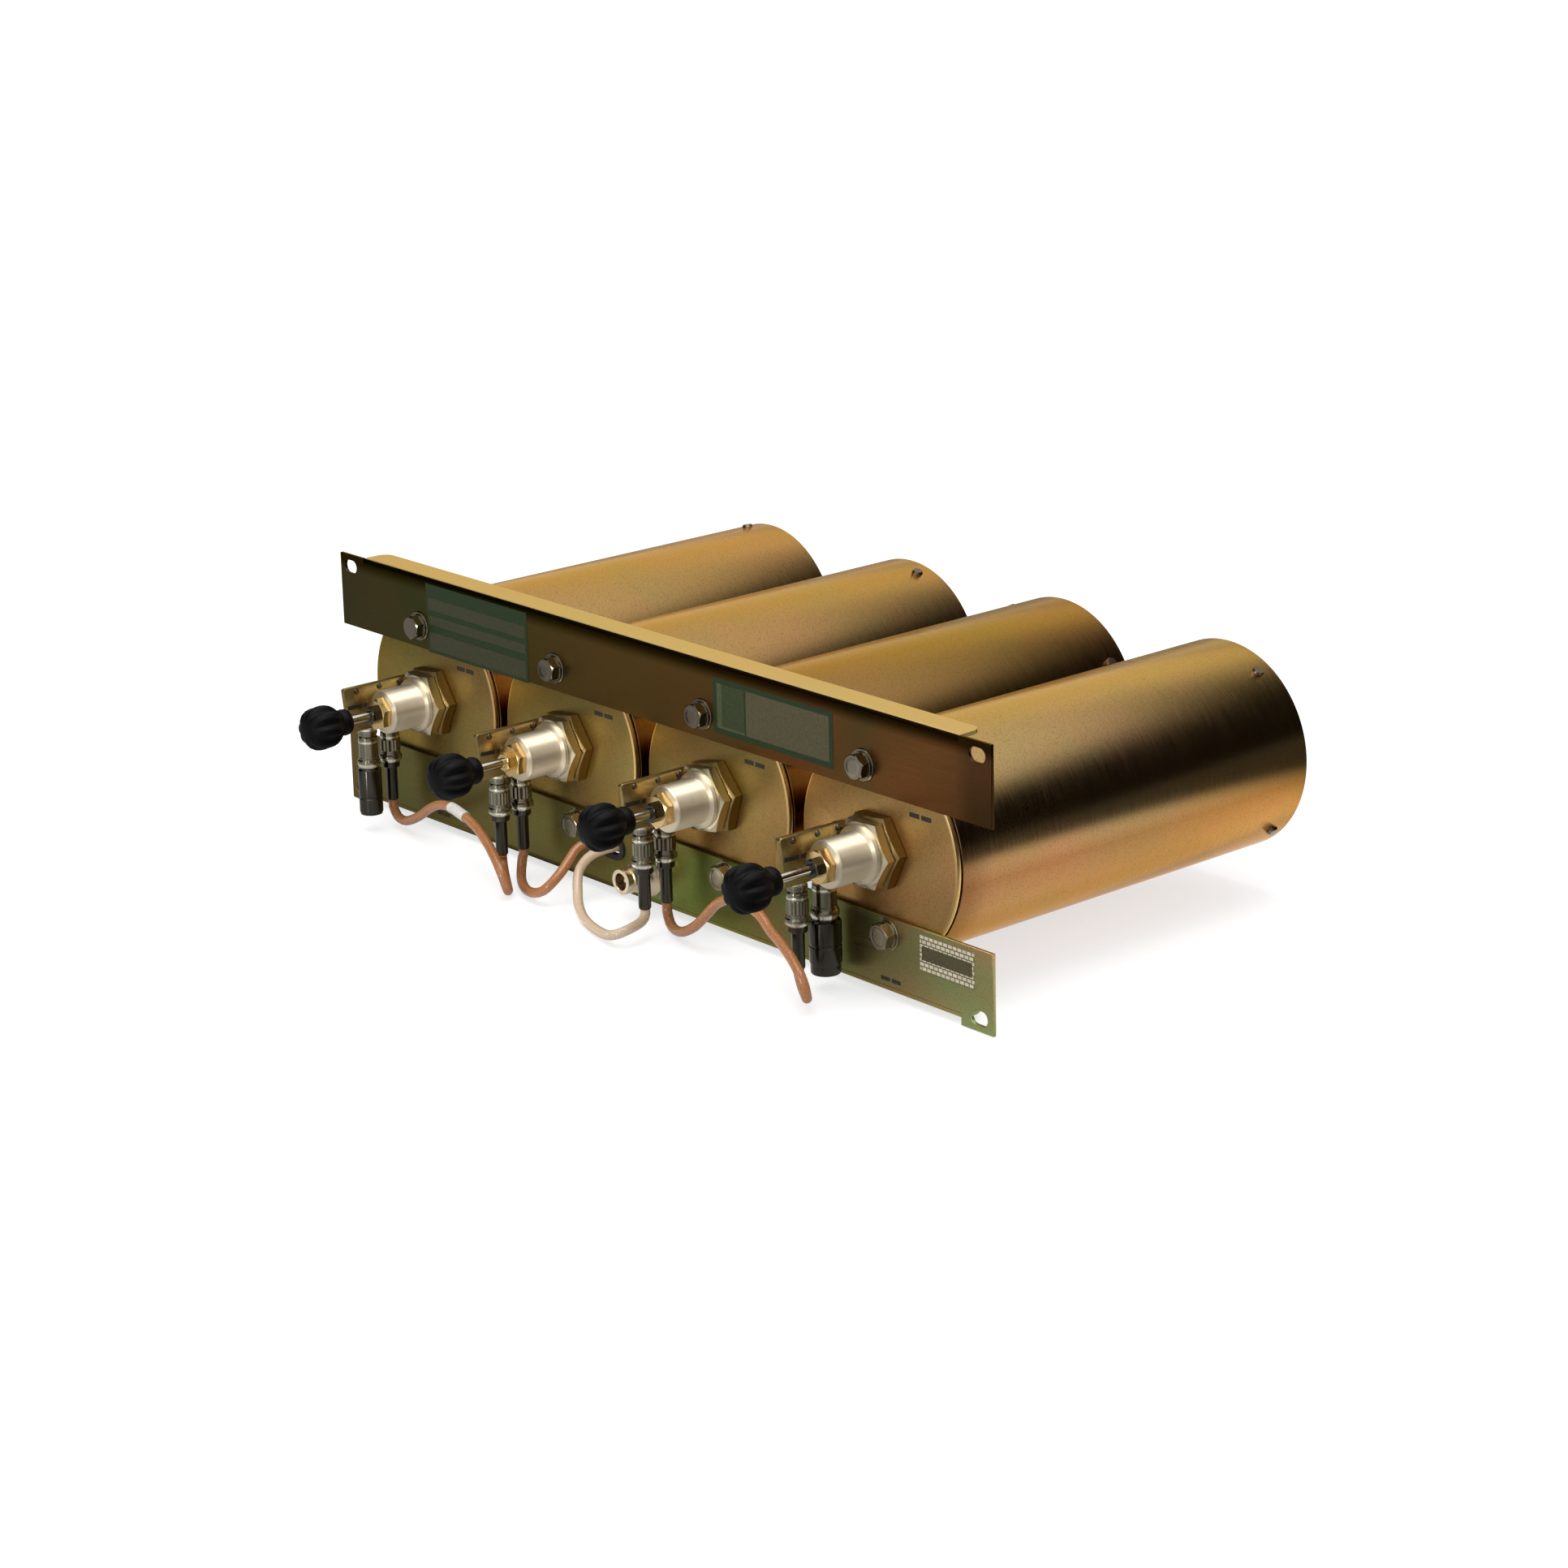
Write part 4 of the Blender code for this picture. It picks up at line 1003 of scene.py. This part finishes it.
# %% Nuts and sleeves
TURNS = (5.0, 7.0, 12.0, 3.0)  # degrees
SLEEVE = [
    (8.9, -8.0), (9.0, 9.2), (2.45, 9.2), (2.45, -29.6), (2.9, -30.1), (9.8, -30.1), (10.7, -29.8),
    (11.1, -29.2), (11.1, -12.4), (11.3, -11.6), (12.9, -11.3), (13.5, -10.9), (13.6, -10.3), (13.6, -9.2),
    (13.2, -8.7), (8.9, -8.5),
]
for n, (x, turn) in enumerate(zip(CENTRES, TURNS), 1):
    centre = (x, AXIS_Z)
    made = carved(chamfered_hex(centre, 18.8, turn, 1.8, -3.7, 1.4), block(ring(centre, 9.7), -6, 4))
    keep(f"lock_nut_gold_{n}", made, nut_gold, replaces=f"lock_nut_{n}", smooth=30)

    made = chamfered_hex(centre, 17.3, turn - 4, -4.0, -8.9, 1.0)
    turned(made, SLEEVE, centre, steps=96, closed=True)
    barrel = keep(f"tuner_barrel_{n}", made, nickel, replaces=f"tuner_sleeve_{n}",
                  smooth=30)
    barrel.data.materials.append(hex_nickel)
    for face in barrel.data.polygons:
        face.material_index = int(face.center.y / MM - BACK > -9.3)

    made = chamfered_hex(centre, 8.6, turn + 14, -30.4, -35.0)
    made = carved(made, block(ring(centre, 2.5, 24), -40, -28))
    keep(f"bush_nut_{n}", made, yellow_brass, replaces=f"rod_nut_{n}", smooth=30)
    made = chamfered_hex(centre, 4.7, turn + 30, -34.9, -38.6, 0.6)
    made = carved(made, block(ring(centre, 2.45, 24), -40, -28))
    # Three jam nuts are painted dark, a painted dark reflection; the second is brass.
    keep(f"jam_nut_{n}", made, yellow_brass if n == 2 else nickel_painted_dark, smooth=30)
print("tuners", len(TURNS))

# %% [markdown]
# ## Rods and knobs
# The rod and its knob are what moves, so they ride on the knob's own body. The knob is moulded with eight
# lobes. It is turned first, and then its rim is pushed in between the lobes, which keeps the rounded edge of
# the lathe shape.

# %% Rods and knobs
SETTING = (0.0, -2.7, 0.6, -7.3)  # how much further back each knob stands than the first one
KNOB = [
    (0, -10.0), (2.5, -9.9), (5.0, -9.5), (7.4, -8.6), (9.3, -6.9), (10.6, -4.6), (11.2, -2.0), (11.3, 0.6),
    (11.0, 3.0), (10.2, 5.4), (8.9, 7.4), (7.6, 8.8), (6.8, 9.8), (6.1, 10.6), (6.5, 11.6), (6.7, 13.0),
    (6.5, 14.4), (5.9, 15.5), (4.9, 16.2), (3.8, 16.4), (2.4, 16.4), (2.4, 12.6), (0, 12.6),
]
LOBES = 8
for n, (x, out) in enumerate(zip(CENTRES, SETTING), 1):
    centre, middle = (x, AXIS_Z), -67.1 + out
    rod = [(0, middle + 13.1), (2.3, middle + 13.1), (2.3, 43.2 + out), (1.9, 43.7 + out), (0, 43.7 + out)]
    made = lathe(rod, centre, steps=32)
    keep(f"polished_rod_{n}", made, mirror_nickel, body=f"knob_{n}_body", replaces=f"tuning_rod_{n}")

    made = lathe([(r, middle + y) for r, y in KNOB], centre, steps=128)
    for v in made.verts:
        dx, dz, y = v.co.x / MM - x, v.co.z / MM - AXIS_Z, v.co.y / MM - BACK - middle
        r = math.hypot(dx, dz)
        if r > 4 and y < 9.5:
            lobe = 0.5 - 0.5 * math.cos(LOBES * math.atan2(dz, dx))
            fade = min(1.0, (r - 4) / 5)
            k = 1 - 0.15 * fade * lobe ** 2
            v.co.x, v.co.z = (x + dx * k) * MM, (AXIS_Z + dz * k) * MM
    keep(f"lobed_knob_{n}", made, knob_black, body=f"knob_{n}_body", replaces=f"knob_{n}",
         smooth=50)
print("knobs with", LOBES, "lobes")

# %% [markdown]
# ## Loop boxes
# The loop box is a folded side plate with a body behind it. Near the tuner it is cut away, so that the hex
# sleeve can turn. Inside the cavity it ends in a loop of silvered wire that couples the jacks to the
# resonator.

# %% Loop boxes
SIDE_X = 12.2  # the side plate's outer face is this far left of the axis
LOOP = [(10.5, 0), (37, 0), (44, -4), (46, -12), (44, -20), (37, -24), (8.4, -24)]  # (y, height over the axis)
for n, (x, turn) in enumerate(zip(CENTRES, TURNS), 1):
    top, low, side, centre = AXIS_Z + 12.4, AXIS_Z - 11.1, x - SIDE_X, (x, AXIS_Z)
    outline = [(-44.6 + 1.0, top), (-5.9, top - 0.2), (-5.9, low), (-42.0, low), (-44.6, top - 1.0)]
    made = block(outline, side - 2.8, side, axis="X", bevel=0.5)
    made = carved(made, lathe([(0, -11.5), (14.0, -11.5), (14.0, -9.2), (0, -9.2)], centre, steps=48))
    made = carved(made, block(hexagon(centre, 17.8, turn - 4), -9.4, -3.0))
    body = [(x - 29.2, -33.4), (x - 15.1, -33.4), (x - 15.1, -12.0), (x - 18.2, -11.0), (x - 18.2, -6.1),
            (x - 29.2, -6.1)]
    slab(made, body, low + 0.2, top - 6.0, "Z", bevel=0.6)
    turned(made, [(0, -7.0), (6.4, -7.0), (6.4, 12.0), (0, 12.0)], (x - LOOP_X, AXIS_Z), steps=40)
    keep(f"loop_box_body_{n}", made, box_olive, replaces=f"loop_box_{n}", smooth=30)
    made = bmesh.new()
    sideways = Matrix.Rotation(math.pi / 2, 4, "Y")
    for y in (-37.0, -23.0, -10.7):
        screw_head(made, 1.5, 1.2, 0.7, Matrix.Translation(at(side + 0.35, y, 78.0)) @ sideways)
    keep(f"box_screws_{n}", made, nickel_painted_dark, smooth=30)
    wire(f"coupling_loop_{n}", [(x - LOOP_X, y, AXIS_Z + z) for y, z in LOOP], 1.3, 3, silvered)
print("loop boxes", len(CENTRES))

# %% [markdown]
# ## Coaxial connectors
# The jacks and plugs are bayonet connectors: stacked turned rings, which the lathe profile gives in one go,
# and a knurled clamp. Straight knurling is a turned ring with every other row of points pushed in. Two jacks
# carry an open port for the radios in place of a plug.

# %% Connectors
JACK_X = 22.0  # the jacks stand this far left of the axis
PAIRS = ((-24.8, -11.4), (-25.2, -12.0), (-25.4, -12.2), (-27.2, -11.0))  # y of the jacks a and b of each box
JACK = [
    (0, 57.9), (5.9, 57.9), (5.9, 55.2), (5.4, 54.7), (4.4, 54.6), (4.4, 53.2), (4.9, 53.0), (4.9, 51.6),
    (4.5, 51.4), (4.5, 50.5), (0, 50.5),
]
PLUG = [
    (0, 50.2), (4.4, 50.2), (4.75, 49.8), (4.9, 49.2), (4.9, 47.9), (5.1, 47.7), (5.1, 47.1), (4.9, 46.9),
    (4.9, 39.2), (5.1, 38.9), (5.1, 38.2), (5.75, 37.4), (5.85, 36.6), (5.85, 35.4), (5.6, 34.8), (4.6, 34.5),
    (4.5, 34.2), (4.5, 31.4), (4.2, 31.0), (3.2, 30.8), (3.0, 30.4), (3.0, 14.2), (2.8, 13.6), (0, 13.6),
]
SMALL_PORT = PLUG[:14] + [
    (5.4, 34.6), (5.2, 34.2), (5.2, 33.2), (5.7, 32.8), (6.0, 32.2), (6.0, 18.6), (5.7, 18.3), (5.7, 17.6),
    (6.0, 17.3), (6.0, 10.2), (5.6, 9.8), (5.6, 9.0), (5.3, 8.9), (4.6, 8.9), (4.5, 9.3), (4.5, 20.0),
    (1.0, 20.0), (0.9, 11.5), (0, 11.2),
]
LARGE_PORT = [
    (0, 50.2), (5.2, 50.2), (5.5, 49.8), (5.6, 49.2), (5.6, 48.0), (5.8, 47.6), (5.8, 47.0), (5.6, 46.8),
    (5.6, 39.6), (5.9, 39.2), (5.9, 38.6), (6.5, 37.6), (6.7, 36.8), (6.7, 35.6), (6.4, 34.8), (6.2, 34.2),
    (6.2, 33.2), (6.9, 32.8), (7.4, 32.2), (7.5, 31.6), (7.5, 22.0), (7.2, 21.6), (7.2, 20.6), (7.5, 20.2),
    (7.5, 13.0), (7.1, 12.2), (7.0, 11.4), (7.0, 8.0), (6.7, 7.4), (5.9, 7.4), (5.7, 7.8), (5.7, 20.0),
    (1.2, 20.0), (1.1, 11.5), (0, 11.0),
]


def knurled(made, centre, radius, low, high, teeth, depth):
    """A ring with straight knurling."""
    profile = [(radius - 1.2, low), (radius - 0.3, low), (radius, low + 0.3), (radius, high - 0.3),
               (radius - 0.3, high), (radius - 1.2, high)]
    for v in turned(made, profile, centre, "Z", steps=teeth * 2, closed=True):
        dx, dy = v.co.x / MM - centre[0], v.co.y / MM - BACK - centre[1]
        r = math.hypot(dx, dy)
        if r > radius - 0.5 and round(math.atan2(dy, dx) * teeth / math.pi) % 2:
            k = 1 - depth / r
            v.co.x, v.co.y = (centre[0] + dx * k) * MM, (centre[1] + dy * k + BACK) * MM


ports = {"1a": SMALL_PORT, "4b": LARGE_PORT}
for n, (x, pair) in enumerate(zip(CENTRES, PAIRS), 1):
    for letter, y in zip("ab", pair):
        which, place = f"{n}{letter}", (x - JACK_X, y)
        keep(f"jack_{which}", lathe(JACK, place, axis="Z", steps=48), connector, smooth=30)
        made = lathe(ports.get(which, PLUG), place, axis="Z", steps=64)
        if which in ports:
            stands_for, name = f"port_adapter_{n}", f"antenna_side_port_{n}"
        else:
            knurled(made, place, 5.2, 39.8, 46.2, teeth=20, depth=0.35)
            stands_for, name = f"cable_plug_{which}", f"bayonet_plug_{which}"
        keep(name, made, connector, replaces=stands_for, smooth=30)

# %% [markdown]
# ## Antenna port
# A bulkhead jack on the lower rail, with its tee block behind the rail where the two middle jumpers end. The
# jack is one lathe profile round a line that points forwards, and the block is a slab with worn edges.

# %% Antenna port
BULKHEAD = [
    (0, -17.5), (0.9, -17.5), (0.9, -9.0), (4.1, -9.0), (4.1, -20.0), (4.3, -20.3), (6.0, -20.3),
    (6.3, -20.0), (6.3, -18.4), (6.0, -18.0), (5.6, -17.6), (5.6, -16.6), (6.2, -16.3), (6.6, -15.9),
    (6.6, -14.8), (6.2, -14.3), (5.8, -14.0), (5.8, -12.8), (6.6, -12.2), (7.2, -11.6), (7.5, -10.0),
    (7.6, -8.4), (8.4, -6.8), (9.6, -5.4), (10.8, -4.2), (11.0, -3.6), (11.0, -0.3), (4.7, -0.3), (4.7, 4.0),
    (0, 4.0),
]
keep("antenna_port", lathe(BULKHEAD, PORT, steps=72), port_nickel, smooth=30)
made = block([(-6.0, 11.5), (20.0, 11.5), (20.0, 26.5), (-6.0, 26.5)], 2.3, 25.0, bevel=0.8)
keep("antenna_tee_block", made, bolt_steel, replaces="antenna_tee", smooth=30)
print("antenna port at", PORT)

# %% [markdown]
# ## Plates, marks and the cable tag
# The rails carry three thin adhesive plates and the front plates a short printed mark each. They are bare
# here: fields of colour without words. Each is its own thin piece, so its edge catches the light as real tape
# does. Fine spots keep a printed field from looking like a plain fill, and small bricks stand for the silver
# plate's close rows.

# %% Paints
def painted(name, tint, rough=0.45, specular=0.2):
    made, tree, shader, place = finish(name, 0.0, Specular_IOR_Level=specular)
    spots = noise(tree, place, 700.0, 3.0)
    tone = ramp(tree, spots, [(0.3, tuple(0.7 * c for c in tint)), (0.7, tint)])
    feed(shader, Base_Color=tone, Roughness=remap(tree, spots, 0.0, 1.0, rough - 0.1, rough + 0.1))
    return made


label_green = painted("label_green", (0.019, 0.038, 0.010))
label_grey = painted("label_grey", (0.094, 0.080, 0.037))
# A darker copy of the label grey for plate A: a painted shade over the upper rail's left part.
label_grey_shaded = painted("label_grey_painted_shade", (0.050, 0.050, 0.022))
label_mint = painted("label_mint", (0.040, 0.056, 0.017))
label_pale = painted("label_mint_pale", (0.080, 0.088, 0.038))
ink = painted("printed_ink", (0.02, 0.015, 0.01), 0.5, 0.5)
sleeve_white = painted("sleeve_white", (0.80, 0.76, 0.70), 0.5, 0.5)
label_silver, tree, shader, place = finish("label_silver", 0.3, Specular_IOR_Level=0.3, Roughness=0.4)
given = {"Vector": place, "Angle": math.pi / 2}
upright = node(tree, "ShaderNodeVectorRotate", given, rotation_type="X_AXIS").outputs[0]
given = {"Vector": upright, "Color1": (0.80, 0.70, 0.50, 1), "Color2": (0.65, 0.57, 0.41, 1),
         "Mortar": (0.16, 0.14, 0.07, 1), "Scale": 1.0, "Mortar Size": 0.0003, "Brick Width": 0.0030,
         "Row Height": 0.0021}
feed(shader, Base_Color=node(tree, "ShaderNodeTexBrick", given).outputs["Color"])
print("materials", len(bpy.data.materials))


# %% Plates
def box(low_x, high_x, low_z, high_z):
    return [(low_x, low_z), (high_x, low_z), (high_x, high_z), (low_x, high_z)]


def tile(name, material, outline, y, thick):
    """A thin plate in front of y."""
    keep(name, block(outline, y - thick, y - 0.005, bevel=0.03, segments=1), material)


BASE, FIELD = 0.12, 0.05  # how thick a plate and the colour field on it are
tile("plate_a_base", label_green, box(-166.8, -83.5, 93.9, 129.5), 0, BASE)
for k, (low, high) in enumerate(((116.0, 122.4), (108.4, 113.2), (95.6, 104.6)), 1):
    tile(f"plate_a_field_{k}", label_grey_shaded, box(-165.0, -85.3, low, high), -BASE, FIELD)
tile("plate_b_base", label_green, box(57.3, 140.2, 99.3, 126.0), 0, BASE)
tile("plate_b_field_1", label_pale, box(60.0, 79.5, 102.0, 123.4), -BASE, FIELD)
tile("plate_b_field_3", label_mint, box(63.4, 79.5, 103.2, 123.4), -BASE - FIELD, FIELD)
tile("plate_b_field_2", label_grey, box(80.5, 137.6, 102.0, 123.4), -BASE, FIELD)
tile("plate_c_base", label_silver, box(195.2, 229.8, 18.6, 35.5), 0, BASE)
tile("plate_c_field", label_grey, box(196.5, 228.5, 24.0, 30.6), -BASE, FIELD)


# %% Printed marks
def mark(made, low_x, high_x, z, y, tall):
    """A printed mark: two short bars of ink side by side."""
    middle = (low_x + high_x) / 2
    for low, high in ((low_x, middle - 0.6), (middle + 0.6, high_x)):
        slab(made, box(low, high, z - tall / 2, z + tall / 2), y - 0.06, y - 0.005)


made = bmesh.new()
for x in CENTRES:
    mark(made, x + 20.6, x + 34.6, 88.9, 2.1, 2.2)
mark(made, 169.3, 182.2, 8.8, 0, 1.9)
mark(made, -165.5, -155.5, 9.0, 0, 1.9)
for x in CENTRES:
    for bar in ([(-42.5, 69.2), (-34.0, 68.9), (-34.0, 70.9), (-42.5, 71.2)],
                [(-33.0, 68.8), (-25.0, 68.5), (-25.0, 70.5), (-33.0, 70.8)]):
        slab(made, bar, x - SIDE_X + 0.005, x - SIDE_X + 0.06, "X")
keep("printed_marks", made, ink)

# The pale tag is a short tube of sleeving on the first jumper.
part = [p for p in cables["cable_a"][1] if -120.5 < p.x < -101.0 and p.z > 20]
tag = wire("cable_tag", part, CABLE_R + 0.35, 6, sleeve_white)
print("tag over", len(part), "points")

# %% [markdown]
# ## What a jumper is
# A game engine or a robot planner needs more than the look of a cable: where it starts, how long and thick
# it is, and how stiff. These jumpers keep their bends, and both ends of each stay on the object. Each one's
# piece, points and length are kept by name in cables.

# %% [markdown]
# ## Carried-over pieces
# The inner conductors and plungers are hidden inside the tubes. They keep their plain shape and get a
# silvered finish.

# %% Inner pieces
inner = [f"{kind}_{n}" for n in range(1, 5) for kind in ("inner_conductor", "tuning_plunger")]
for name in inner:
    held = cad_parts[name].data.materials
    held.clear()
    held.append(silvered)
print("silvered", inner)
